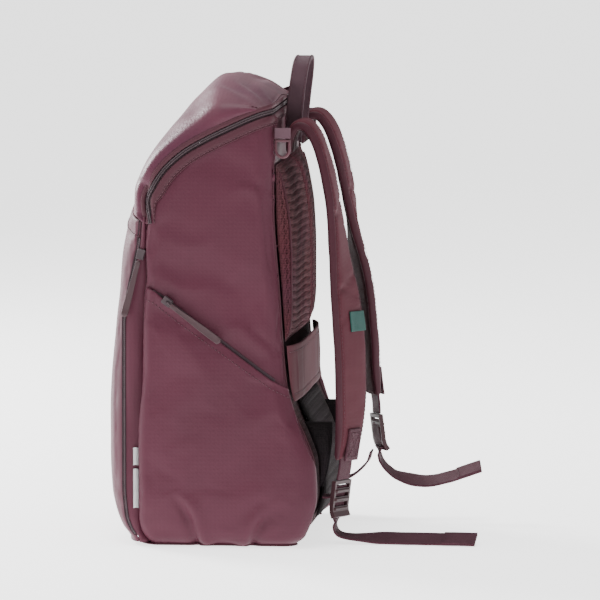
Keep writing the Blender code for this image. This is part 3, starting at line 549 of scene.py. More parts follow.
def noise_of(P, scale, seed=0.0, octaves=1):
    out = np.empty(P.shape[:2])
    off = Vector((seed * 3.7, seed * 1.3, seed * 2.1))
    for j in range(P.shape[0]):
        for i in range(P.shape[1]):
            v = Vector(P[j, i]) * scale + off
            out[j, i] = noise.noise(v) if octaves == 1 else noise.fractal(v, 0.6, 2.1, octaves)
    return out


def smoothstep(a, b, x):
    t = np.clip((x - a) / (b - a), 0, 1)
    return t * t * (3 - 2 * t)


def add_object(name, me, mat, body, replaces=()):
    ob = bpy.data.objects.new(name, me)
    bpy.context.scene.collection.objects.link(ob)
    if mat is not None:
        me.materials.append(mat)
    if body is not None:
        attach(ob, body)
    if replaces:
        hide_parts(*replaces)
    return ob


def surface(name, P, mat, body, replaces=(), thick=0.0012, facing=None, offset=-1.0, subdiv=0):
    """A sewn panel from a grid of points, with its cloth thickness."""
    nv, nu = P.shape[0] - 1, P.shape[1] - 1
    me = bpy.data.meshes.new(name)
    idx = np.arange((nu + 1) * (nv + 1)).reshape(nv + 1, nu + 1)
    faces = np.stack([idx[:-1, :-1], idx[:-1, 1:], idx[1:, 1:], idx[1:, :-1]], axis=2).reshape(-1, 4)
    if facing is not None:
        if float((nrm(P) * np.array(facing)).sum()) < 0:
            faces = faces[:, ::-1]
    me.from_pydata(P.reshape(-1, 3).tolist(), [], faces.tolist())
    me.shade_smooth()
    uv = me.uv_layers.new(name="strap")
    seg_u = np.linalg.norm(np.diff(P, axis=1), axis=2).mean(0)
    seg_v = np.linalg.norm(np.diff(P, axis=0), axis=2).mean(1)
    cu = np.concatenate([[0], np.cumsum(seg_u)])
    cv = np.concatenate([[0], np.cumsum(seg_v)])
    vi = np.empty(len(me.loops), int)
    me.loops.foreach_get("vertex_index", vi)
    uv.data.foreach_set("uv", np.stack([cu[vi % (nu + 1)], cv[vi // (nu + 1)]], 1).astype(np.float32).ravel())
    ob = add_object(name, me, mat, body, replaces)
    if thick:
        mod = ob.modifiers.new("cloth", "SOLIDIFY")
        mod.thickness = thick
        mod.offset = offset
    if subdiv:
        s = ob.modifiers.new("smooth", "SUBSURF")
        s.levels = s.render_levels = subdiv
    return ob


def tube(name, points, radius, mat, body, squash=1.0, closed=False, sides=8, up=None, radii=None):
    """Piping, coil or cord: a swept tube on a smooth path."""
    pts = [Vector(p) for p in points]
    n = len(pts)
    verts, faces = [], []
    prev = None
    for i, p in enumerate(pts):
        a = pts[(i - 1) % n] if (closed or i > 0) else pts[0]
        b = pts[(i + 1) % n] if (closed or i < n - 1) else pts[-1]
        t = (b - a).normalized()
        ref = Vector(up) if up is not None else (prev if prev is not None else (
            Vector((0, 0, 1)) if abs(t.z) < 0.9 else Vector((1, 0, 0))))
        s = (ref - t * ref.dot(t)).normalized()
        prev = s
        c = t.cross(s)
        r = radii[i] if radii is not None else radius
        for k in range(sides):
            a2 = 2 * math.pi * k / sides
            verts.append(p + s * (math.cos(a2) * r * squash) + c * (math.sin(a2) * r))
    m = n if closed else n - 1
    for i in range(m):
        for k in range(sides):
            a, b = i * sides + k, i * sides + (k + 1) % sides
            c, d = ((i + 1) % n) * sides + (k + 1) % sides, ((i + 1) % n) * sides + k
            faces.append((a, b, c, d))
    if not closed:
        faces.append(tuple(range(sides))[::-1])
        faces.append(tuple(range((n - 1) * sides, n * sides)))
    me = bpy.data.meshes.new(name)
    me.from_pydata(verts, [], faces)
    bm = bmesh.new()
    bm.from_mesh(me)
    bm.normal_update()
    bmesh.ops.recalc_face_normals(bm, faces=bm.faces[:])
    bm.to_mesh(me)
    bm.free()
    me.shade_smooth()
    return add_object(name, me, mat, body)


def stitches(name, points, normals, mat, body, length=0.0026, gap=0.0014, radius=0.00035):
    """A row of thread stitches lying on a surface: short rounded bars, all in one piece of geometry."""
    pts = [Vector(p) for p in points]
    run = [0.0]
    for a, b in zip(pts, pts[1:]):
        run.append(run[-1] + (b - a).length)
    bm = bmesh.new()
    total, at = run[-1], 0.0

    def where(s):
        j = max(0, min(len(run) - 2, next((i for i in range(len(run) - 1) if run[i + 1] >= s), len(run) - 2)))
        f = (s - run[j]) / max(run[j + 1] - run[j], 1e-9)
        return pts[j].lerp(pts[j + 1], f), Vector(normals[j]).lerp(Vector(normals[j + 1]), f).normalized()
    while at + length < total:
        (a, na), (b, nb) = where(at), where(at + length)
        t = (b - a).normalized()
        n = (na + nb).normalized()
        c = t.cross(n)
        ring = []
        for k, (q, r, lift) in enumerate(((0.0, 0.35, 0.1), (0.25, 1.0, 0.75), (0.75, 1.0, 0.75), (1.0, 0.35, 0.1))):
            o = a.lerp(b, q) + n * (radius * lift)
            ring.append([bm.verts.new(o + c * (radius * 1.3 * r * math.cos(w)) + n * (radius * r * math.sin(w)))
                         for w in (0, math.pi / 2, math.pi, 3 * math.pi / 2)])
        for x, y in zip(ring, ring[1:]):
            for k in range(4):
                bm.faces.new((x[k], x[(k + 1) % 4], y[(k + 1) % 4], y[k]))
        bm.faces.new(ring[0])
        bm.faces.new(ring[-1][::-1])
        at += length + gap
    bm.normal_update()
    bmesh.ops.recalc_face_normals(bm, faces=bm.faces[:])
    me = bpy.data.meshes.new(name)
    bm.to_mesh(me)
    bm.free()
    me.shade_smooth()
    return add_object(name, me, mat, body)


def settle(P, pressure=1.2, excess=0.02, cap=0.005, frames=14, gravity=0.0, pins=None, stiff=18.0, name="s"):
    """Lets a panel of cloth, sewn down where pins is 1, billow and pucker; returns its points, moved at most cap."""
    nv, nu = P.shape[0] - 1, P.shape[1] - 1
    me = bpy.data.meshes.new("settle_" + name)
    idx = np.arange((nu + 1) * (nv + 1)).reshape(nv + 1, nu + 1)
    faces = np.stack([idx[:-1, :-1], idx[:-1, 1:], idx[1:, 1:], idx[1:, :-1]], axis=2).reshape(-1, 4)
    me.from_pydata(P.reshape(-1, 3).tolist(), [], faces.tolist())
    ob = bpy.data.objects.new("settle_" + name, me)
    bpy.context.scene.collection.objects.link(ob)
    g = ob.vertex_groups.new(name="pin")
    if pins is None:
        pins = np.zeros((nv + 1, nu + 1))
        pins[0, :] = pins[-1, :] = pins[:, 0] = pins[:, -1] = 1
    for i, w in enumerate(pins.ravel()):
        if w > 0:
            g.add([i], float(w), "REPLACE")
    mod = ob.modifiers.new("cloth", "CLOTH")
    c = mod.settings
    c.quality = 5
    c.mass = 0.25
    c.tension_stiffness = c.compression_stiffness = stiff
    c.shear_stiffness = stiff * 0.5
    c.bending_stiffness = 0.6
    c.vertex_group_mass = "pin"
    c.shrink_min = -excess
    c.use_pressure = True
    c.uniform_pressure_force = pressure
    c.effector_weights.gravity = gravity
    mod.collision_settings.use_collision = False
    mod.point_cache.frame_start = 1
    mod.point_cache.frame_end = frames
    scene = bpy.context.scene
    for f in range(1, frames + 1):
        scene.frame_set(f)
    dg = bpy.context.evaluated_depsgraph_get()
    ev = ob.evaluated_get(dg).data
    co = np.empty(len(ev.vertices) * 3)
    ev.vertices.foreach_get("co", co)
    Q = co.reshape(nv + 1, nu + 1, 3)
    scene.frame_set(1)
    bpy.data.objects.remove(ob, do_unlink=True)
    D = Q - P
    L = np.linalg.norm(D, axis=2, keepdims=True)
    print("settle", name, "largest move mm", round(float(L.max()) * 1000, 2))
    D = D * np.minimum(1.0, cap / np.maximum(L, 1e-9))
    return P + D


# ---------------------------------------------------------------- body: side walls
def near_line(Y, Z, pts):
    """Signed distance to a polyline in the side view (positive on its left), and the fraction along it."""
    best = np.full(Y.shape, 1e9)
    sign = np.zeros(Y.shape)
    frac = np.zeros(Y.shape)
    n = len(pts) - 1
    for i in range(n):
        a, b = np.array(pts[i]), np.array(pts[i + 1])
        d = b - a
        L2 = float(d @ d)
        t = np.clip(((Y - a[0]) * d[0] + (Z - a[1]) * d[1]) / L2, 0, 1)
        ey, ez = Y - (a[0] + d[0] * t), Z - (a[1] + d[1] * t)
        dist = np.sqrt(ey * ey + ez * ez)
        cr = d[0] * ez - d[1] * ey
        m = dist < best
        best = np.where(m, dist, best)
        sign = np.where(m, np.sign(cr), sign)
        frac = np.where(m, (i + t) / n, frac)
    return best * sign, frac


def side_folds(P, seed):
    """Slack in the side cloth: broad drift, and pulls that run from the corners."""
    Y, Z = P[..., 1], P[..., 2]
    Q = P.copy()
    Q[..., 2] *= 0.55
    d = 0.0016 * noise_of(Q, 12.0, seed) + 0.0007 * noise_of(Q, 27.0, seed + 5)
    for line, amp, wid in (([(-0.072, 0.300), (-0.040, 0.288), (0.000, 0.292)], 0.0011, 0.011),
                           ([(-0.070, 0.262), (-0.042, 0.246), (-0.010, 0.247)], 0.0013, 0.010),
                           ([(0.044, 0.345), (0.018, 0.352), (-0.012, 0.343)], 0.0009, 0.012),
                           ([(0.050, 0.190), (0.020, 0.214), (-0.010, 0.222)], 0.0010, 0.013)):
        s, f = near_line(Y, Z, line)
        d += amp * np.exp(-(s / wid) ** 2) * np.sin(np.pi * np.clip(f, 0.02, 0.98)) * np.where(s > 0, 1.0, 0.35)
    return d


for side, tag in ((1, "right"), (-1, "left")):
    P = grid_of(lambda u, v: side_panel_point(u, v, side), 74, 104)
    N = nrm(P)
    if (N[50, 37] * np.array([side, 0, 0])).sum() < 0:
        N = -N
    nv, nu = P.shape[0] - 1, P.shape[1] - 1
    U, V = np.meshgrid(np.linspace(0, 1, nu + 1), np.linspace(0, 1, nv + 1))
    fade = smoothstep(0, 0.10, U) * smoothstep(0, 0.14, 1 - U) * smoothstep(0, 0.06, 1 - V)
    P = P + N * (side_folds(P, 2.0 + side) * fade)[..., None]
    P = settle(P, pressure=0.5, excess=0.003, cap=0.0012, frames=10, name="side_" + tag)
    surface(f"{tag}_side_cloth", P, M_BODY, "root", (f"{tag}_side_panel",), 0.0016, (side, 0, 0))
    # seam roll where the side wall meets the front gusset
    zs = np.linspace(0.006, 0.3175, 64)
    tube(f"{tag}_front_seam", [(side * (along(WIDTH, z) - R_FRONT - 0.0002), front_edge(z) - 0.0004, z) for z in zs],
         0.0011, M_PIPE, "root")
    zs = np.linspace(0.006, 0.405, 80)
    tube(f"{tag}_back_seam", [(side * (along(WIDTH, z) - R_BACK - 0.0010), back_edge(z) + 0.0005, z) for z in zs],
         0.0012, M_PIPE, "root")

# ---------------------------------------------------------------- side pockets
PLEATS = ([(-0.0500, 0.0560), (-0.0400, 0.0430), (-0.0320, 0.0270), (-0.0262, 0.0040)],
          [(0.0470, 0.0480), (0.0370, 0.0320), (0.0290, 0.0180), (0.0235, 0.0040)])


def pocket_base(u, v, side):
    w = spread(u)
    z = lerp(0.0012, along(SIDE_POCKET_TOP, 0.0) - 0.003, v)
    for _ in range(3):
        y = lerp(front_edge(z), back_edge(z), w)
        z = lerp(0.0012, along(SIDE_POCKET_TOP, y) - 0.0030, v)
    return side * side_x(y, z), y, z


for side, tag in ((1, "right"), (-1, "left")):
    P = grid_of(lambda u, v: pocket_base(u, v, side), 84, 92)
    uu_, vv_ = np.meshgrid(np.linspace(0, 1, 85), np.linspace(0, 1, 93))
    P[..., 1] += 0.0075 * (1 - uu_) ** 5 * smoothstep(0.35, 1.0, vv_)
    N = nrm(P)
    if (N[40, 40] * np.array([side, 0, 0])).sum() < 0:
        N = -N
    nv, nu = P.shape[0] - 1, P.shape[1] - 1
    U, V = np.meshgrid(np.linspace(0, 1, nu + 1), np.linspace(0, 1, nv + 1))
    edge = smoothstep(-0.02, 0.08, U) * smoothstep(-0.02, 0.10, 1 - U) * smoothstep(-0.03, 0.10, V)
    off = 0.0010 + 0.0042 * edge
    off += 0.0034 * np.sin(np.pi * np.clip(U, 0, 1)) ** 0.8 * np.sin(np.pi * np.clip(V * 0.92, 0, 1)) ** 0.9
    Q = P.copy()
    Q[..., 2] *= 0.6
    off += edge * (0.0016 * noise_of(Q, 13.0, 11 + side) + 0.0006 * noise_of(Q, 30.0, 17))
    for k, line in enumerate(PLEATS):
        s, f = near_line(P[..., 1], P[..., 2], line)
        if k == 1:
            s = -s
        a = smoothstep(0.02, 0.55, f)
        off += a * (0.0030 * np.exp(-((s - 0.0065) / 0.0070) ** 2) - 0.0042 * np.exp(-((s + 0.0022) / 0.0042) ** 2))
    s, f = near_line(P[..., 1], P[..., 2], [(-0.070, 0.222), (-0.045, 0.205), (-0.020, 0.170), (-0.008, 0.130)])
    off += 0.0016 * np.exp(-(s / 0.012) ** 2) * np.sin(np.pi * np.clip(f, 0.01, 0.99))
    s, f = near_line(P[..., 1], P[..., 2], [(-0.074, 0.236), (-0.052, 0.222), (-0.030, 0.196)])
    off -= 0.0012 * np.exp(-(s / 0.008) ** 2) * np.sin(np.pi * np.clip(f, 0.01, 0.99))
    P = P + N * off[..., None]
    pins = np.zeros(P.shape[:2])
    pins[0, :] = pins[:, 0] = pins[:, -1] = 1
    pins[-1, :] = 0.9
    P = settle(P, pressure=0.6, excess=0.003, cap=0.0012, frames=10, pins=pins, name="pocket_" + tag)
    # the top edge is folded over
    rows = [P]
    lip, nl = P[-1], N[-1]
    up = np.array([0, SZ_UP.y, SZ_UP.z])
    for a in (30, 60, 90, 125, 160):
        r = 0.0013
        ang = math.radians(a)
        rows.append((lip + up * r * math.sin(ang) - nl * r * (1 - math.cos(ang)))[None])
    rows.append((lip - nl * 0.0026 - up * 0.004)[None])
    P = np.concatenate(rows, 0)
    surface(f"{tag}_pocket_cloth", P, M_BODY, "root", (f"{tag}_side_pocket",), 0.0008, (side, 0, 0))
    hem = P[nv - 4]
    sl = range(3, nu - 3)
    stitches(f"{tag}_pocket_stitch", [hem[i] + N[nv - 4, i] * 0.0001 for i in sl], [N[nv - 4, i] for i in sl],
             M_THREAD, "root")
    # bottom piping
    tube(f"{tag}_foot_piping", [P[0, i] + np.array([0, 0, 0.0004]) for i in range(2, nu - 1)], 0.0012, M_PIPE, "root")

# ---------------------------------------------------------------- front panel, gussets and zip
def crown_seen(z):
    return along(FRONT_CROWN, z) + 0.0035 * float(smoothstep(0.22, 0.30, np.array(z)))


def front_seen(u, v):
    x = FRONT_HALF * (-math.cos(math.pi * u))
    q = abs(x) / FRONT_HALF
    z = lerp(0.0040, FRONT_TOP + 0.0150 * (1 - q ** 2.0), v)
    rim, crown = along(FRONT_RIM, z), crown_seen(z)
    bulge = (1 - q ** 4.0) ** 0.55
    return x * 1.006, -lerp(rim, crown, bulge), z


P = grid_of(front_seen, 90, 96)
N = nrm(P)
if N[48, 45, 1] > 0:
    N = -N
nv, nu = P.shape[0] - 1, P.shape[1] - 1
U, V = np.meshgrid(np.linspace(0, 1, nu + 1), np.linspace(0, 1, nv + 1))
fade = smoothstep(0, 0.05, V) * smoothstep(0, 0.05, 1 - V) * smoothstep(0.0, 0.12, U) * smoothstep(0, 0.12, 1 - U)
Q = P.copy()
Q[..., 2] *= 1.6
P = P + N * (fade * (0.0008 * noise_of(Q, 9.0, 31) + 0.0004 * noise_of(Q, 24.0, 33)))[..., None]
P = settle(P, pressure=0.6, excess=0.003, cap=0.0008, frames=10, name="front")
rows = [P]
for a in (40, 80, 120, 160):
    ang = math.radians(a)
    r = 0.0022
    rows.append((P[-1] + np.array([0, 0, 1]) * r * math.sin(ang) + np.array([0, 1, 0]) * r * (1 - math.cos(ang)))[None])
rows.append((P[-1] + np.array([0, 0.0046, -0.010]))[None])
PF = np.concatenate(rows, 0)
surface("front_cloth", PF, M_BODY, "root", ("front_panel",), 0.0012, (0, -1, 0))
tube("front_top_seam", [P[-5, i] + N[-5, i] * 0.0002 for i in range(0, nu + 1)], 0.0007, M_PIPE, "root")

for side, tag in ((1, "right"), (-1, "left")):
    def gusset(u, v):
        z = lerp(0.0035, 0.3190, v)
        y0 = -along(FRONT_RIM, z) + 0.0010
        y1 = front_edge(z) + 0.0002
        if y1 - y0 < 0.002:
            y0 = y1 - 0.002
        half = min(along(WIDTH, z) - R_FRONT, 0.1310)
        flat = 1 - 0.75 * math.exp(-((z - 0.066) / 0.034) ** 4)
        puff = flat * 0.0032 * math.sin(math.pi * u) ** 0.8 * (0.75 + 0.25 * math.sin(z * 41.0 + 0.6))
        return side * (lerp(0.1302, half, u ** 1.5) + puff), lerp(y0, y1, u), z
    G = grid_of(gusset, 18, 110)
    NG = nrm(G)
    if NG[50, 9, 0] * side < 0:
        NG = -NG
    S = G.copy()
    S[..., 2] *= 0.35
    U, V = np.meshgrid(np.linspace(0, 1, 19), np.linspace(0, 1, 111))
    calm = 1 - 0.75 * np.exp(-((G[..., 2] - 0.066) / 0.034) ** 4)
    G = G + NG * (calm * np.sin(np.pi * U) * (0.0018 * noise_of(S, 60.0, 41 + side)))[..., None]
    surface(f"front_gusset_cloth_{tag}", G, M_BODY, "root", (f"front_gusset_{tag}",), 0.0012,
            (side, 0, 0))

    # zip between gusset and panel: tape, then a line of interlocked teeth
    zz = np.linspace(0.010, 0.3150, 110)
    tape = np.array([[(side * 0.1296, -along(FRONT_RIM, z) - 0.0024 + 0.0062 * k / 4, z) for k in range(5)] for z in zz])
    surface(f"front_zip_tape_{tag}", tape, M_TAPE, "root", (f"front_zip_chain_{tag}",), 0.0010,
            (side, 0, 0))
    pts, rad = [], []
    for i in range(420):
        z = lerp(0.012, 0.298, i / 419)
        pts.append((side * 0.1304, -along(FRONT_RIM, z) + 0.0006, z))
        rad.append(0.0011 + 0.0004 * math.sin(i * 2.2))
    tube(f"front_zip_teeth_{tag}", pts, 0.001, M_ZIP, "root", radii=rad, sides=6, up=(0, 1, 0))

B = grid_of(lambda u, v: (lerp(-0.127, 0.127, u), lerp(-0.0875, -0.0700, v),
                          lerp(0.0052, 0.0008, v) - 0.0012 * math.sin(math.pi * v)), 40, 8)
surface("front_foot_cloth", B, M_BODY, "root", ("front_gusset_bottom",), 0.0010, (0, 0, -1))


# ---------------------------------------------------------------- lid, main zip and its welt
def lid_seen(u, v):
    s = v
    yb, zb = zip_side(s, ZIP_HALF - 0.0012)
    yc, zc = along(LID_CREST, s)
    if s > 0.97:
        k = (s - 0.97) / 0.03
        zc = lerp(zc, zb, k)
        yc = lerp(yc, yb, k)
    half = side_x(min(max(yb, front_edge(zb)), back_edge(zb)), zb)
    a = math.pi * u
    c, sn = math.cos(a), math.sin(a)
    p = 0.46
    x = half * math.copysign(abs(c) ** p, c)
    h = abs(sn) ** p
    fall = 0.0135 * (abs(x) / 0.1375) ** 1.25 * smoothstep(0.25, 0.62, np.array(v)) * (1 - smoothstep(0.90, 1.0, np.array(v)))
    return x, lerp(yb, yc, h) + 0.3 * float(fall) * h, lerp(zb, zc, h) - float(fall) * h


def lid_u(k):
    """Grid stations across the lid, gathered at the sides where the cloth turns over."""
    return 0.5 - 0.5 * math.copysign(abs(math.cos(math.pi * k)) ** 0.75, math.cos(math.pi * k))


L = grid_of(lambda u, v: lid_seen(lid_u(u), v), 116, 96)
NL = nrm(L)
if NL[48, 58, 2] < 0:
    NL = -NL
nv, nu = L.shape[0] - 1, L.shape[1] - 1
U, V = np.meshgrid(np.linspace(0, 1, nu + 1), np.linspace(0, 1, nv + 1))
fade = smoothstep(0, 0.05, V) * smoothstep(0, 0.05, 1 - V) * smoothstep(0, 0.10, U) * smoothstep(0, 0.10, 1 - U)
Q = L.copy()
Q[..., 0] *= 0.55
d = 0.0024 * noise_of(Q, 13.0, 51) + 0.0009 * noise_of(Q, 31.0, 53)
# soft pulls that run from the crest down to the two back corners
for sx in (1, -1):
    X, Y = L[..., 0] * sx, L[..., 1]
    for a, b, amp, wid in (((0.020, -0.020), (0.112, 0.034), 0.0026, 0.0075),
                           ((0.045, -0.034), (0.122, 0.018), 0.0018, 0.0080),
                           ((-0.010, 0.000), (0.090, 0.040), 0.0020, 0.0065),
                           ((0.060, -0.062), (0.118, -0.040), 0.0012, 0.0100)):
        s, f = near_line(X, Y, [a, b])
        d += amp * np.exp(-(s / wid) ** 2) * np.sin(np.pi * np.clip(f, 0.01, 0.99))
        d -= 0.6 * amp * np.exp(-((s - 1.7 * wid) / wid) ** 2) * np.sin(np.pi * np.clip(f, 0.01, 0.99))
L = L + NL * (fade * d)[..., None]
L = settle(L, pressure=0.6, excess=0.005, cap=0.0016, frames=10, name="lid")
NL = nrm(L)
if NL[48, 58, 2] < 0:
    NL = -NL
# seam grooves: where side pieces join the top behind the crest, and the cross seam before the back edge
S1 = np.zeros(L.shape[:2])
seam_lines = {}
for sx in (1, -1):
    col = 20 if sx == 1 else nu - 20
    seam_lines[sx] = [(r, int(round(col + sx * 5 * (1 - (r - 72) / 20)))) for r in range(72, 92)]
for sx, cells in seam_lines.items():
    for r, c in cells:
        for k in range(-2, 3):
            S1[r, c + k] += (0.9, 0.55, 0.2)[abs(k)] * smoothstep(74, 84, np.array(float(r)))
for c in range(10, nu - 9):
    S1[89, c] += 0.9
    S1[88, c] += 0.4
    S1[90, c] += 0.4
L = L - NL * (0.0011 * np.clip(S1, 0, 1))[..., None]
surface("lid_cloth", L, M_LID, "lid", ("lid_shell",), 0.0014, (0, 0, 1))
for sx, cells in seam_lines.items():
    cells = cells[8:]
    stitches("lid_stitch_" + ("right" if sx == 1 else "left"), [L[r, c + 3 * sx] for r, c in cells],
             [NL[r, c + 3 * sx] for r, c in cells], M_THREAD, "lid")
stitches("lid_stitch_back", [L[91, c] for c in range(12, nu - 11)], [NL[91, c] for c in range(12, nu - 11)],
         M_THREAD, "lid")

# piece of cloth that joins the lid to the front panel and bends at the hinge
def panel_at(x, z, lift=0.0):
    q = min(abs(x) / FRONT_HALF, 1.0)
    bulge = (1 - q ** 4.0) ** 0.55
    return -lerp(along(FRONT_RIM, z), along(FRONT_CROWN, z), bulge) + lift


def hinge_cloth(u, v):
    a = Vector(lid_seen(lid_u(u), 0.035))
    x = max(-0.1275, min(0.1275, a.x * 0.985))
    top = FRONT_TOP + 0.0095 * (1 - (abs(x) / FRONT_HALF) ** 2)
    zb = top - 0.012
    low = Vector((x, panel_at(x, zb, 0.0032), zb))
    hi = Vector((a.x * 0.985, a.y + 0.0026, a.z + 0.001))
    mid = Vector((x, max(low.y, hi.y) + 0.0012, top + 0.001))
    return ((1 - v) ** 2 * low + 2 * v * (1 - v) * mid + v * v * hi)[:]


def bake(ob):
    """Make an object's mesh what its modifiers show."""
    me = bpy.data.meshes.new_from_object(ob.evaluated_get(bpy.context.evaluated_depsgraph_get()))
    old = ob.data
    ob.modifiers.clear()
    ob.data = me
    bpy.data.meshes.remove(old)


hinge = surface("lid_joining_cloth", grid_of(hinge_cloth, 60, 24), M_PIPE, None, (), 0.0009, (0, -1, 0))
bake(hinge)
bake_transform(hinge)


def rim_frames(n, off, out=0.0, w0=0.0, w1=1.0):
    pts = []
    for i in range(n + 1):
        w = lerp(w0, w1, i / n)
        o = off
        if off < -0.004:
            o = lerp(-0.0040, off, float(smoothstep(-0.01, 0.075, np.array(min(w, 1 - w)))))
        pts.append(np.array(rim_point(w, o, out)))
    return np.array(pts)


def rim_band(name, lo, hi, mat, body, out, bulge=0.0, rows=6, n=220, replaces=(), thick=0.0009,
             w0=0.0, w1=1.0, tuck=0.0):
    """A band of cloth that follows the main zip, between two offsets across it."""
    G = []
    for k in range(rows + 1):
        t = k / rows
        G.append(rim_frames(n, lerp(lo, hi, t), out + bulge * math.sin(math.pi * t) - tuck * (1 - t), w0, w1))
    G = np.array(G)
    c = G.mean((0, 1))
    Nn = nrm(G)
    if float((Nn * (G - c)).sum()) < 0:
        G = G[::-1]
    # facing away from the bag's middle
    mid = nrm(G)[rows // 2, n // 4]
    return surface(name, G, mat, body, replaces, thick, None)


rim_band("main_zip_tape_low", -0.0040, -0.0002, M_TAPE, "root", 0.0002, replaces=("main_zip_tape_body",))
rim_band("main_zip_tape_high", 0.0002, 0.0040, M_TAPE, "lid", 0.0002, replaces=("main_zip_tape_lid",))
rim_band("main_zip_welt", -0.0125, -0.0034, M_WELT, "root", 0.0012, 0.0012)
rim_band("lid_edge_binding", 0.0024, 0.0070, M_WELT, "lid", 0.0010, 0.0009)


def teeth(name, off, phase, body):
    pts = rim_frames(900, off, 0.0011)
    rad = [0.00085 + 0.00035 * math.sin(i * 2.4 + phase) for i in range(901)]
    return tube(name, pts, 0.001, M_ZIP, body, radii=rad, sides=6)


teeth("main_zip_teeth_low", -0.0009, 0.0, "root")
teeth("main_zip_teeth_high", 0.0009, 3.1, "lid")
pts = rim_frames(240, -0.0127, 0.0010)
tube("main_zip_seam", pts, 0.0008, M_PIPE, "root")
pts = rim_frames(300, -0.0112, 0.0021)
out_n = rim_frames(300, -0.0112, 0.0121) - pts
stitches("main_zip_stitch", pts, out_n, M_THREAD, "root")

# small tucks of cloth that close the corners where lid, front panel and side meet
for side, tag in ((1, "right"), (-1, "left")):
    C = grid_of(lambda u, v, side=side: (side * (lerp(0.1272, 0.1325, u) + 0.0012 * math.sin(math.pi * v)),
                                         lerp(-0.0820, -0.0700, u), lerp(0.2980, 0.3200, v)), 14, 20)
    surface(f"corner_tuck_{tag}", C, M_PIPE, "root", (), 0.0010, (side, 0, 0))


# ---------------------------------------------------------------- back, base and inside pieces
def pillow(name, outer, inner, nu, nv, mat, body, replaces=(), ribs=None, edge=7.0, power=0.5, back_mat=None,
           gather=0.72):
    """A stuffed pad: a crowned face and a flat back sewn together at the rim. outer and inner give points at (a, b)."""
    def st(n):
        k = np.linspace(0, 1, n + 1)
        c = np.cos(np.pi * k)
        return -np.sign(c) * np.abs(c) ** gather
    A_, B_ = st(nu), st(nv)
    F = np.empty((nv + 1, nu + 1, 3))
    K = np.empty((nv + 1, nu + 1, 3))
    for j, b in enumerate(B_):
        for i, a in enumerate(A_):
            t = (max(1 - abs(a) ** edge, 0) * max(1 - abs(b) ** edge, 0)) ** power
            o, n = np.array(outer(a, b)), np.array(inner(a, b))
            K[j, i] = n
            F[j, i] = n + (o - n) * t
            if ribs is not None:
                F[j, i] += (o - n) / max(np.linalg.norm(o - n), 1e-9) * ribs(a, b, F[j, i]) * t
    n1 = (nv + 1) * (nu + 1)
    rim = set()
    idx = np.arange(n1).reshape(nv + 1, nu + 1)
    second = idx + n1
    for arr in (0, -1):
        second[arr, :] = idx[arr, :]
        second[:, arr] = idx[:, arr]
    co = np.concatenate([F.reshape(-1, 3), K.reshape(-1, 3)])
    faces = []
    for g, flip in ((idx, False), (second, True)):
        for j in range(nv):
            for i in range(nu):
                q = (int(g[j, i]), int(g[j, i + 1]), int(g[j + 1, i + 1]), int(g[j + 1, i]))
                faces.append(q[::-1] if flip else q)
    me = bpy.data.meshes.new(name)
    me.from_pydata(co.tolist(), [], faces)
    bm = bmesh.new()
    bm.from_mesh(me)
    bmesh.ops.delete(bm, geom=[v for v in bm.verts if not v.link_faces], context="VERTS")
    bm.normal_update()
    bmesh.ops.recalc_face_normals(bm, faces=bm.faces[:])
    bm.to_mesh(me)
    bm.free()
    me.shade_smooth()
    ob = add_object(name, me, mat, body, replaces)
    return ob, F, K


def back_at(x, z, lift=0.0):
    z = float(z)
    be = back_edge(z)
    half = along(WIDTH, z)
    return be - corner(half - abs(x), R_BACK) * 0.9 + lift


def back_grid(z0, z1, half, nu, nv, lift):
    return grid_of(lambda u, v: (lerp(-half(lerp(z0, z1, v)), half(lerp(z0, z1, v)), spread(u)),
                                 back_at(lerp(-half(lerp(z0, z1, v)), half(lerp(z0, z1, v)), spread(u)),
                                         lerp(z0, z1, v), lift), lerp(z0, z1, v)), nu, nv)


bw = lambda z: along(WIDTH, z) - 0.0135
BK = back_grid(0.0050, 0.4130, bw, 60, 120, 0.0002)
fade = smoothstep(0, 0.08, np.linspace(0, 1, 121))[:, None] * smoothstep(0, 0.08, 1 - np.linspace(0, 1, 121))[:, None]
NB = np.zeros_like(BK)
NB[..., 1] = 1
BK = BK + NB * (fade * 0.0008 * noise_of(BK, 24.0, 71))[..., None]
upper = BK[84:, :]
surface("back_cloth_upper", upper, M_BODY, "root", ("back_panel",), 0.0012, (0, 1, 0))
surface("back_cloth_lower", BK[:85, :], M_MESH_D, "root", (), 0.0012, (0, 1, 0))
pts = [(x, back_at(x, 0.2908, 0.0012), 0.2908) for x in np.linspace(-0.12, 0.12, 60)]
tube("back_cross_seam", pts, 0.0010, M_PIPE, "root")

base_half = lambda y: along([(-0.114, 0.082), (-0.108, 0.104), (-0.095, 0.1190), (-0.07, 0.1235), (0.03, 0.1235),
                             (0.052, 0.118), (0.062, 0.104), (0.066, 0.086)], y)
BOX = {n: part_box(n) for n in ("base_panel", "base_stiffener", "lower_back_pad", "front_inner_panel", "laptop_divider")}
by0, by1 = BOX["base_panel"][0][1] + 0.0006, BOX["base_panel"][1][1] - 0.0006
BS = grid_of(lambda u, v: (lerp(-base_half(lerp(by0, by1, v)), base_half(lerp(by0, by1, v)), u), lerp(by0, by1, v),
                           0.0030), 50, 44)
BS[..., 2] += -0.0014 + 0.0010 * noise_of(BS, 22.0, 75)
BS[..., 2] = np.clip(BS[..., 2], 0.0004, 0.0034)
surface("base_cloth", BS, M_BODY, "root", ("base_panel",), 0.0010, (0, 0, -1), offset=-1.0)
NODES_BOARD = ("base_stiffener", "back_frame_sheet")


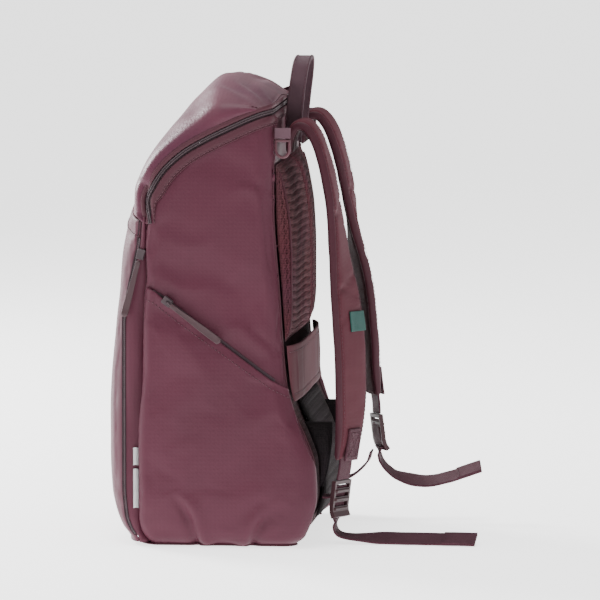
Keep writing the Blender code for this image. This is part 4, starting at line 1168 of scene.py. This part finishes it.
def hung(name, f, nu, nv, mat, replaces, thick, facing, amp, seed):
    P = grid_of(f, nu, nv)
    N = nrm(P)
    uu = np.linspace(0, 1, nu + 1)[None, :]
    vv = np.linspace(0, 1, nv + 1)[:, None]
    fd = smoothstep(0, 0.12, uu) * smoothstep(0, 0.12, 1 - uu) * smoothstep(0, 0.1, vv) * smoothstep(0, 0.1, 1 - vv)
    P = P + N * (amp * fd * noise_of(P, 20.0, seed))[..., None]
    return surface(name, P, mat, "root", replaces, thick, facing)


fb0, fb1 = BOX["front_inner_panel"]
hung("front_lining", lambda u, v: (lerp(fb0[0] + 0.002, fb1[0] - 0.002, u),
                                   front_edge(lerp(fb0[2], fb1[2] - 0.002, v)) - 0.0008,
                                   lerp(fb0[2] + 0.001, fb1[2] - 0.003, v)), 40, 50, M_LINING,
     ("front_inner_panel",), 0.0014, (0, -1, 0), 0.0012, 81)
dv = BOX["laptop_divider"]
ob, F, K = pillow("padded_divider",
                  lambda a, b: (a * 0.117, back_edge(lerp(0.009, 0.328, (b + 1) / 2)) - 0.0255 - 0.012 *
                                (1 - (b + 1) / 2), lerp(0.009, 0.328, (b + 1) / 2)),
                  lambda a, b: (a * 0.117, back_edge(lerp(0.009, 0.328, (b + 1) / 2)) - 0.0315 - 0.012 *
                                (1 - (b + 1) / 2), lerp(0.009, 0.328, (b + 1) / 2)), 40, 60, M_LINING, "root",
                  ("laptop_divider",), edge=14.0)

# ---------------------------------------------------------------- back pads
RIB = 0.0072
for sx, tag in ((1, "right"), (-1, "left")):
    def p_out(a, b, sx=sx):
        z = lerp(0.198, 0.368, (b + 1) / 2)
        x = 0.0595 + a * 0.0565
        return (sx * x, along(PAD_OUT, z) - 0.080 * x + 0.0006, z)

    def p_in(a, b, sx=sx):
        z = lerp(0.198, 0.368, (b + 1) / 2)
        x = 0.0595 + a * 0.0565
        return (sx * x, back_at(x, z, 0.0026), z)

    def ribs(a, b, p):
        k = 1.0 - smoothstep(0.80, 0.90, np.array(abs(a)))
        w = abs(math.sin(math.pi * (p[2] + 0.0011 * math.sin(a * 5)) / RIB)) ** 0.55
        groove = 0.0016 * math.exp(-((a - 0.05) / 0.05) ** 2)
        return float(k) * (-0.0022 * (1 - w)) - groove

    ob, F, K = pillow(f"back_pad_cover_{tag}", p_out, p_in, 64, 260, M_MESH, "root", (f"back_pad_{tag}",),
                      ribs=ribs, edge=13.0, power=0.42, gather=0.8)
    # seam between the ribbed face and the side wall, and the wavy chains knitted into the wall
    ring = []
    for k in range(121):
        t = k / 120
        z = lerp(0.203, 0.362, t)
        ring.append((sx * 0.1115, along(PAD_OUT, z) - 0.080 * 0.1115 - 0.0006, z))
    tube(f"back_pad_seam_{tag}", ring, 0.0011, M_PIPE, "root")
    for c in range(4):
        pts, rad = [], []
        for k in range(361):
            z = lerp(0.206, 0.362, k / 360)
            y0, y1 = back_at(0.113, z, 0.0030), along(PAD_OUT, z) - 0.080 * 0.113 - 0.0018
            ph = 2 * math.pi * z / 0.0096 + (math.pi if c % 2 else 0)
            y = lerp(y0, y1, (c + 0.5) / 4) + 0.30 * (y1 - y0) / 4 * math.sin(ph) * 1.5
            pts.append((sx * (0.1154 + 0.0002 * math.cos(ph)), y, z))
        tube(f"pad_wall_chain_{tag}_{c}", pts, 0.00062, M_MESH, "root", sides=5)

lz0, lz1 = 0.0225, 0.1375
ob, F, K = pillow("lumbar_pad_cover",
                  lambda a, b: (a * 0.0755, back_edge(lerp(lz0, lz1, (b + 1) / 2)) + 0.0078,
                                lerp(lz0, lz1, (b + 1) / 2)),
                  lambda a, b: (a * 0.0755, back_edge(lerp(lz0, lz1, (b + 1) / 2)) + 0.0024,
                                lerp(lz0, lz1, (b + 1) / 2)), 56, 150, M_BLACK, "root", ("lower_back_pad",),
                  ribs=lambda a, b, p: -0.0010 * (1 - abs(math.sin(math.pi * p[2] / 0.010)) ** 0.5)
                  * float(1 - smoothstep(0.86, 0.95, np.array(abs(a)))), edge=12.0)

# luggage band: a flat sheet stretched across the back, with turned and stitched hems
LB = grid_of(lambda u, v: band_point(u, v), 120, 34)
NLB = nrm(LB)
if NLB[17, 60, 1] < 0:
    NLB = -NLB
uu = np.linspace(0, 1, 121)[None, :]
vv = np.linspace(0, 1, 35)[:, None]
d = 0.0007 * noise_of(LB, 26.0, 91) * smoothstep(0, 0.15, uu) * smoothstep(0, 0.15, 1 - uu)
for c, amp in ((0.20, 0.0011), (0.33, -0.0008), (0.80, 0.0011), (0.68, -0.0007)):
    d = d + amp * np.exp(-((uu - c - 0.02 * vv) / 0.012) ** 2) * np.sin(np.pi * vv)
d = d - 0.0005 * (np.exp(-((vv - 0.11) / 0.012) ** 2) + np.exp(-((vv - 0.89) / 0.012) ** 2))
LB = LB + NLB * d[..., None]
lug = surface("luggage_band_cloth", LB, M_BAND, "root", ("luggage_band",), 0.0014, (0, 1, 0),
              offset=0.0)
run = float(np.linalg.norm(np.diff(LB[17], axis=0), axis=1).sum())
for r, nm in ((4, "low"), (30, "high")):
    stitches(f"luggage_band_stitch_{nm}", LB[r, 4:-4] + NLB[r, 4:-4] * 0.0008, NLB[r, 4:-4], M_THREAD, "root")

# black foam wings at the foot of the back, where the lower webbing is sewn in
for sx, tag in ((1, "right"), (-1, "left")):
    def w_at(a, b, x, sx=sx):
        z = lerp(0.0555, 0.1185, (b + 1) / 2)
        y0 = back_at(0.099, z, 0.0022)
        y1 = along(WING_OUT, z) - 0.0006
        return (sx * x, lerp(y0, y1, (a + 1) / 2), z)
    ob, F, K = pillow(f"foot_wing_{tag}", lambda a, b: w_at(a, b, 0.1047), lambda a, b: w_at(a, b, 0.0933), 30, 70,
                      M_BLACK, "root", (f"strap_wing_{tag}",), edge=3.4, power=0.5)
    pts = [w_at(1.0, b, 0.0990) for b in np.linspace(-0.98, 0.98, 70)]
    pts = [(p[0], p[1] - 0.0004, p[2]) for p in pts]
    tube(f"foot_wing_piping_{tag}", pts, 0.0012, M_BLACK, "root")


# ---------------------------------------------------------------- shoulder straps and their webbing
def fine_ribbon(points, turns, n):
    return ribbon(points, turns, n)


def strap_cover(name, path, turns, side, replaces, seed):
    """Padded strap: cloth face, mesh lining, bound edges, in one closed stuffed form."""
    n, ring = 190, 44
    st = ribbon(path, turns, n)
    co, faces, mats = [], [], []
    for i, (p, s, m) in enumerate(st):
        v = i / n
        w = strap_width(v) / 2 * 0.94
        t = (STRAP_T / 2) * (1.0 - 0.25 * float(smoothstep(0.92, 1.0, np.array(v)))) * (
            1.0 - 0.35 * float(1 - smoothstep(0.0, 0.10, np.array(v))))
        end = math.sqrt(max(1 - max((0.012 - v) / 0.012, 0) ** 2, 0.05)) * math.sqrt(
            max(1 - max((v - 0.988) / 0.012, 0) ** 2, 0.05))
        for k in range(ring):
            a = 2 * math.pi * k / ring
            c, sn = math.cos(a), math.sin(a)
            x = math.copysign(abs(c) ** 0.42, c)
            h = math.copysign(abs(sn) ** 0.62, sn)
            q = Vector((x * w * (0.98 + 0.02 * end), 0, 0))
            lift = h * t * end
            if sn > 0:
                fold = noise.noise(Vector((x * 0.9, v * 9.0, seed))) * 0.0011
                fold += noise.noise(Vector((x * 2.1, v * 26.0, seed + 5))) * 0.0006
                for f0, amp, tilt in ((0.335, 0.0016, 0.030), (0.365, 0.0012, -0.022), (0.535, 0.0015, 0.028),
                                      (0.560, 0.0012, -0.020), (0.62, 0.0008, 0.02)):
                    fold -= amp * math.exp(-((v - f0 - tilt * x) / 0.0075) ** 2)
                lift += fold * (1 - abs(x) ** 4)
                lift -= 0.0016 * math.exp(-((abs(x) - 0.87) / 0.030) ** 2)
            else:
                lift += 0.0011 * math.exp(-((abs(x) - 0.84) / 0.035) ** 2)
                lift += 0.0007 * noise.noise(Vector((x * 2.0, v * 18.0, seed + 9))) * (1 - abs(x) ** 4)
            co.append(p + s * q.x + m * lift)
    for i in range(n):
        for k in range(ring):
            b = i * ring + k
            c = i * ring + (k + 1) % ring
            faces.append((b, c, c + ring, b + ring))
            a = 2 * math.pi * (k + 0.5) / ring
            x = abs(math.cos(a)) ** 0.42
            mats.append(2 if x > 0.885 else (0 if math.sin(a) > 0 else 1))
    faces.append(tuple(range(ring))[::-1])
    mats.append(0)
    faces.append(tuple(range(n * ring, (n + 1) * ring)))
    mats.append(0)
    me = bpy.data.meshes.new(name)
    me.from_pydata(co, [], faces)
    for mt in (M_STRAP, M_MESH_D, M_PIPE):
        me.materials.append(mt)
    me.polygons.foreach_set("material_index", mats)
    bm = bmesh.new()
    bm.from_mesh(me)
    bm.normal_update()
    bmesh.ops.recalc_face_normals(bm, faces=bm.faces[:])
    bm.to_mesh(me)
    bm.free()
    me.shade_smooth()
    ob = bpy.data.objects.new(name, me)
    bpy.context.scene.collection.objects.link(ob)
    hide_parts(replaces)
    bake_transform(ob)
    return ob, st


def strip(name, st, width, thick, mat, body, replaces=(), lift=0.0, shift=0.0, first=0, last=None,
          round_edge=0.5, seed=0.0, wavy=0.0003, fold=None):
    """Flat webbing along ribbon stations: closed."""
    use = st[first:(last + 1 if last is not None else None)]
    n, nx = len(use) - 1, 16
    T = []
    for i, (p, s, m) in enumerate(use):
        row = []
        for k in range(nx + 1):
            x = -1 + 2 * k / nx
            h = noise.noise(Vector((x * 1.3, i * 0.09, seed))) * wavy
            row.append(np.array(p + s * (x * width / 2 + shift) + m * (lift + h)))
        T.append(row)
    P = np.array(T)
    mm = use[len(use) // 2][2]
    ob = surface(name, P, mat, body, replaces, thick, tuple(mm), offset=0.0)
    return ob, P


LOCK_C = {1: (0.0905, 0.1065, 0.0445), -1: (-0.0900, 0.1265, 0.0880)}
for sx, tag, path, tail in ((1, "right", STRAP_R, TAIL_R), (-1, "left", STRAP_L, TAIL_L)):
    turns = [(t, sx * -a) for t, a in ((0.0, 0.0), (0.30, 0.0), (0.45, 7.0), (0.58, 18.0), (0.68, 21.0), (0.85, 21.0),
                                       (1.0, 22.0))]
    sb, lb = f"strap_{tag}", f"lock_{tag}"
    ob, st = strap_cover(f"strap_cover_{tag}", path, turns, sx, f"shoulder_strap_{tag}", 3.0 + sx)
    n = len(st) - 1
    for e in (1, -1):
        i0, i1 = int(n * 0.12), int(n * 0.97)
        P = [st[i][0] + st[i][1] * (e * (strap_width(i / n) / 2 * 0.80)) + st[i][2] * (STRAP_T / 2 * 0.83)
             for i in range(i0, i1)]
        stitches(f"strap_stitch_{tag}_{'a' if e > 0 else 'b'}", P, [st[i][2] for i in range(i0, i1)], M_THREAD, sb, radius=0.00022)
    # patch of webbing sewn over the strap's end, with its box of stitching
    lift = STRAP_T / 2 + WEB_T / 2 + 0.0004
    f0 = int(n * 33 / 36)
    ob, P = strip(f"strap_patch_{tag}", st, WEB_W, WEB_T, M_WEB, sb, (f"strap_end_patch_{tag}",), lift=lift,
                  first=f0, seed=4.0)
    N = nrm(P)
    if float((N * np.array(st[-1][2])).sum()) < 0:
        N = -N
    rows, cols = P.shape[0], P.shape[1]
    r0, r1, c0, c1 = 2, rows - 3, 2, cols - 3
    loop = [(r0, c) for c in range(c0, c1 + 1)] + [(r, c1) for r in range(r0, r1 + 1)] + \
           [(r1, c) for c in range(c1, c0 - 1, -1)] + [(r, c0) for r in range(r1, r0 - 1, -1)]
    stitches(f"strap_patch_box_{tag}", [P[r, c] + N[r, c] * 0.0010 for r, c in loop], [N[r, c] for r, c in loop],
             M_THREAD, sb, 0.0020, 0.0009)
    for sgn in (0, 1):
        diag = [(int(round(lerp(r0, r1, t))), int(round(lerp(c0, c1, t if sgn else 1 - t)))) for t in
                np.linspace(0, 1, 12)]
        stitches(f"strap_patch_cross_{tag}_{sgn}", [P[r, c] + N[r, c] * 0.0010 for r, c in diag],
                 [N[r, c] for r, c in diag], M_THREAD, sb, 0.0020, 0.0009)
    if sx == 1:
        ob, P = strip("strap_tag", st, 0.0300, 0.0009, M_TEAL, sb, ("strap_label",),
                      lift=STRAP_T / 2 + 0.0008, shift=-0.0085, first=int(n * 22 / 36), last=int(n * 24 / 36), seed=7.0)
    # free end through the ladder lock, lying on the floor or curling in the air, with its folded hem
    tst = ribbon(tail, TAIL_TURN, 130)
    strip(f"strap_tail_{tag}", tst, WEB_W, WEB_T, M_WEB, lb, (f"webbing_tail_{tag}",), seed=11.0 + sx,
          wavy=0.0002)
    hem = tst[102:]
    strip(f"strap_tail_hem_{tag}", hem, WEB_W - 0.0004, 0.0012, M_WEB, lb, (), lift=0.0014, seed=12.0)
    hs = [(p + s * (WEB_W * 0.42 * (-1 + 2 * k / 12)) + m * 0.0021) for (p, s, m) in (hem[2],) for k in range(13)]
    stitches(f"strap_tail_stitch_{tag}", hs, [hem[2][2]] * 13, M_THREAD, lb, 0.0020, 0.0009)

    # webbing from the strap's end into the lock, and the part of it seen behind the lock's bars
    lc = Vector(LOCK_C[sx])
    ep, es, em = st[-1]
    es = es.normalized()
    up_ = ((ep - lc) - es * (ep - lc).dot(es)).normalized()
    out_ = es.cross(up_)
    if out_.dot(em) < 0:
        out_ = -out_
    a0, a1 = ep + up_ * 0.004 + em * 0.0010, lc + up_ * 0.0178 + out_ * 0.0006
    sst = [(a0.lerp(a1, k / 16) + out_ * (0.0006 * math.sin(math.pi * k / 16)), es, out_) for k in range(17)]
    strip(f"strap_end_webbing_{tag}", sst, WEB_W - 0.0012, WEB_T, M_WEB, sb, (), seed=31.0 + sx)
    pth = [lc + up_ * (0.0120 - 0.0029 * k) - out_ * (0.0004 + 0.0014 * math.sin(math.pi * k / 9)) for k in range(10)]
    pst = [(p, es, out_) for p in pth]
    strip(f"lock_webbing_{tag}", pst, WEB_W - 0.0016, WEB_T, M_WEB, lb, (), seed=33.0 + sx)
    for kz in (0.0115, 0.0030, -0.0062):
        bar = [lc + up_ * (kz - 0.0042) + out_ * 0.0017 + es * (x * 0.0132) for x in np.linspace(-1, 1, 14)]
        tube(f"lock_bar_{tag}_{int(kz * 1e4) + 100}", bar, 0.0017, M_BUCKLE, lb, sides=10)
    t0, t1 = lc - up_ * 0.0150 - out_ * 0.0012, Vector(tail[0])
    if (t1 - t0).length > 0.003:
        q = [t0.lerp(t1, k / 8) for k in range(9)]
        strip(f"tail_root_{tag}", [(p, es.lerp(Vector((1, 0, 0)) * (1 if es.x > 0 else -1), k / 8).normalized(), out_)
                                   for k, p in enumerate(q)], WEB_W - 0.0010, WEB_T, M_WEB, lb, (), seed=35.0)

    foot = Vector((sx * 0.0905, 0.0905, 0.0500))
    if sx == 1:
        run = [foot + Vector((0, 0, -0.004)), foot + Vector((0, 0.0035, -0.0045)), foot + Vector((0, 0.0080, -0.0035))]
    else:
        run = [foot + Vector((0, 0.0, -0.010)), Vector((-0.0900, 0.1020, 0.0440)), Vector((-0.0900, 0.1150, 0.0560)),
               Vector((-0.0900, 0.1200, 0.0680))]
    ast = ribbon(run, [(0, 0.0), (1, 0.0)], 50)
    strip(f"lower_webbing_{tag}", ast, WEB_W, WEB_T, M_WEB, "root", (f"adjuster_webbing_{tag}",), seed=21.0)

# ---------------------------------------------------------------- carry handle
hp = smooth_path(HANDLE, 150)
HG = []
for i, p in enumerate(hp):
    t = (hp[min(i + 1, 150)] - hp[max(i - 1, 0)]).normalized()
    nn = Vector((0, 1, 0)).cross(t).normalized()
    row = []
    for k in range(13):
        u = -1 + 2 * k / 12
        row.append(np.array(p + Vector((0, 1, 0)) * (u * 0.0080) + nn * (0.0002 * noise.noise(Vector((u, i * 0.08, 2))))))
    HG.append(row)
HG = np.array(HG)
surface("handle_webbing", HG, M_WEB_H, "handle", ("grab_handle",), 0.0028, None, offset=0.0)
NH = nrm(HG)
for sgn in (1, -1):
    for c in (1, 11):
        stitches(f"handle_stitch_{'in' if sgn > 0 else 'out'}_{c}", HG[12:140, c] + NH[12:140, c] * 0.0015 * sgn,
                 NH[12:140, c] * sgn, M_THREAD, "handle")


# ---------------------------------------------------------------- hardware, from the CAD solids
def dress(name, mat, width=0.0005, segments=2, angle=0.6):
    ob = NODES[name]
    ob.data.materials.clear()
    ob.data.materials.append(mat)
    b = ob.modifiers.new("soft edges", "BEVEL")
    b.width = width
    b.segments = segments
    b.limit_method = "ANGLE"
    b.angle_limit = angle
    return ob


for tag in ("right", "left"):
    dress(f"ladder_lock_{tag}", M_BUCKLE, 0.0007, 3)
    dress(f"dring_{tag}", M_RING, 0.0001, 1)
    dress(f"dring_tab_{tag}", M_WEB_H, 0.0004, 2)
    dress(f"{tag}_side_zip_slider", M_METAL, 0.0008, 3)
dress("front_zip_slider", M_METAL, 0.0006, 3)
dress("main_zip_slider", M_METAL, 0.0007, 3)
dress("main_zip_pull", M_LEATHER, 0.0004, 2)
for n_ in NODES_BOARD:
    dress(n_, M_BOARD, 0.0003, 1)


def pull_tab(name, start, run, out, length, w0, w1, thick, body, node_name, tip=0.0):
    """Moulded pull: narrow where it hangs in the slider, wider and rounded at its end, with a raised middle line."""
    run, out = run.normalized(), out.normalized()
    across = run.cross(out).normalized()
    n, m = 40, 20
    co, faces = [], []
    for i in range(n + 1):
        v = i / n
        w = lerp(w0, w1, smoothstep(0.12, 0.75, np.array(v)).item())
        w *= math.sqrt(max(1 - max((v - 0.965) / 0.035, 0) ** 2, 0.06)) * math.sqrt(max(1 - max((0.03 - v) / 0.03, 0) ** 2, 0.1))
        th = thick * (1 + tip * math.exp(-((v - 0.93) / 0.045) ** 2))
        for k in range(m):
            a = 2 * math.pi * k / m
            x = math.copysign(abs(math.cos(a)) ** 0.45, math.cos(a)) * w / 2
            h = math.copysign(abs(math.sin(a)) ** 0.6, math.sin(a)) * th / 2
            h -= 0.22 * thick * math.exp(-((abs(x) / (w / 2) - 0.62) / 0.14) ** 2) * (1 if math.sin(a) > 0 else 0) \
                * (1 if 0.10 < v < 0.93 else 0)
            co.append(start + run * (length * v) + across * x + out * h)
    for i in range(n):
        for k in range(m):
            a, b = i * m + k, i * m + (k + 1) % m
            faces.append((a, b, b + m, a + m))
    faces.append(tuple(range(m))[::-1])
    faces.append(tuple(range(n * m, (n + 1) * m)))
    me = bpy.data.meshes.new(name)
    me.from_pydata(co, [], faces)
    bm = bmesh.new()
    bm.from_mesh(me)
    bm.normal_update()
    bmesh.ops.recalc_face_normals(bm, faces=bm.faces[:])
    bm.to_mesh(me)
    bm.free()
    me.shade_smooth()
    return add_object(name, me, M_LEATHER, body, (node_name,))


for sx, tag in ((1, "right"), (-1, "left")):
    s0 = SZ_A + SZ_DIR * 0.0153 + Vector((sx * (HALF_W + 0.0115), 0, 0))
    pull_tab(f"side_pull_tab_{tag}", s0, SZ_DIR, Vector((sx, 0, 0)), 0.0601, 0.0046, 0.0072, 0.0019, f"side_pull_{tag}",
             f"{tag}_side_zip_pull")
    o = SZ_A + SZ_DIR * 0.0110 + Vector((sx * (HALF_W + 0.0078), 0, 0))
    arc = [o + SZ_DIR * (0.0042 * (1 - math.cos(a))) + Vector((sx * 0.0030 * math.sin(a), 0, 0)) for a in
           np.linspace(0, math.pi * 0.8, 14)]
    tube(f"side_pull_bow_{tag}", arc, 0.0008, M_METAL, f"side_slider_{tag}")
    sz = [SZ_A + SZ_DIR * t + Vector((sx * (HALF_W + 0.0012), 0, 0)) for t in np.linspace(-0.006, 0.135, 260)]
    tube(f"side_zip_teeth_{tag}", [np.array(p) + np.array([0, SZ_UP.y, SZ_UP.z]) * (0.0006 * (-1) ** i)
                                   for i, p in enumerate(sz)], 0.0008, M_ZIP, "root", sides=6)
for name_ in ("left_side_zip_chain", "right_side_zip_chain"):
    if name_ in NODES:
        dress(name_, M_TAPE, 0.0002, 1)
pull_tab("front_pull_tab", FZ_TOP + FZ_DIR * 0.0070 + Vector((0.0066, 0, 0)), FZ_DIR, Vector((1, 0, 0)), 0.0565, 0.0044,
         0.0066, 0.0019, "front_pull", "front_zip_pull", tip=0.5)


# blank woven labels sewn into the front gusset's seam, curved over a fold
for nm, z0, z1 in (("upper", 0.0785, 0.0955), ("lower", 0.0370, 0.0750)):
    W = grid_of(lambda u, v, z0=z0, z1=z1: (0.1336 + 0.0012 * math.sin(math.pi * u), lerp(-0.0895, -0.0842, u),
                                            lerp(z0, z1, v) + 0.0006 * math.sin(math.pi * u)), 14, 30)
    surface(f"side_tag_{nm}", W, M_WHITE, "root", (f"side_label_{nm}",), 0.0006, (1, 0, 0))


# ---------------------------------------------------------------- floor, light, camera
def area(name, loc, target, size, power, colour=(1, 1, 1)):
    light = bpy.data.lights.new(name, "AREA")
    light.shape = "RECTANGLE"
    light.size, light.size_y = size
    light.energy = power
    light.color = colour
    ob = bpy.data.objects.new(name, light)
    bpy.context.scene.collection.objects.link(ob)
    ob.location = loc
    ob.rotation_euler = (Vector(target) - Vector(loc)).to_track_quat("-Z", "Y").to_euler()
    return ob


me = bpy.data.meshes.new("floor")
me.from_pydata([(-12, -12, 0), (12, -12, 0), (12, 12, 0), (-12, 12, 0)], [], [(0, 1, 2, 3)])
floor = bpy.data.objects.new("floor", me)
bpy.context.scene.collection.objects.link(floor)
fm = bpy.data.materials.new("floor")
fm.use_nodes = True
fp = fm.node_tree.nodes["Principled BSDF"]
fp.inputs["Base Color"].default_value = (0.86, 0.86, 0.86, 1)
fp.inputs["Roughness"].default_value = 0.75
fp.inputs["Emission Color"].default_value = (1.0, 1.0, 1.0, 1)
fp.inputs["Emission Strength"].default_value = 1.9
me.materials.append(fm)

world = bpy.data.worlds.new("studio")
world.use_nodes = True
world.node_tree.nodes["Background"].inputs["Color"].default_value = (1.0, 1.0, 1.0, 1)
world.node_tree.nodes["Background"].inputs["Strength"].default_value = 0.55
bpy.context.scene.world = world

aim = (0.0, 0.02, 0.22)
area("key", (1.5, -1.0, 1.9), aim, (1.2, 1.2), 9)
area("fill", (1.9, 1.2, 0.8), aim, (1.6, 1.4), 2)
area("top", (0.1, -0.1, 2.4), aim, (1.4, 1.4), 40)
area("front", (0.5, -2.0, 0.8), aim, (0.9, 1.4), 16)
area("rim", (-1.3, -1.7, 1.1), (0.0, -0.05, 0.30), (0.8, 1.2), 105)

A, E = math.radians(96), math.radians(6)
right = Vector((math.cos(A), math.sin(A), 0))
back = Vector((math.sin(A) * math.cos(E), -math.cos(A) * math.cos(E), math.sin(E)))
up = back.cross(right)
target = right * 0.0578 + up * 0.2245
cam = bpy.data.cameras.new("camera")
cam.sensor_width = 36
cam.lens = 36 * 8 / 0.588
cam.clip_end = 60
camera = bpy.data.objects.new("camera", cam)
bpy.context.scene.collection.objects.link(camera)
camera.location = target + back * 8
camera.rotation_euler = back.to_track_quat("Z", "Y").to_euler()
bpy.context.scene.camera = camera

bpy.context.view_layer.update()
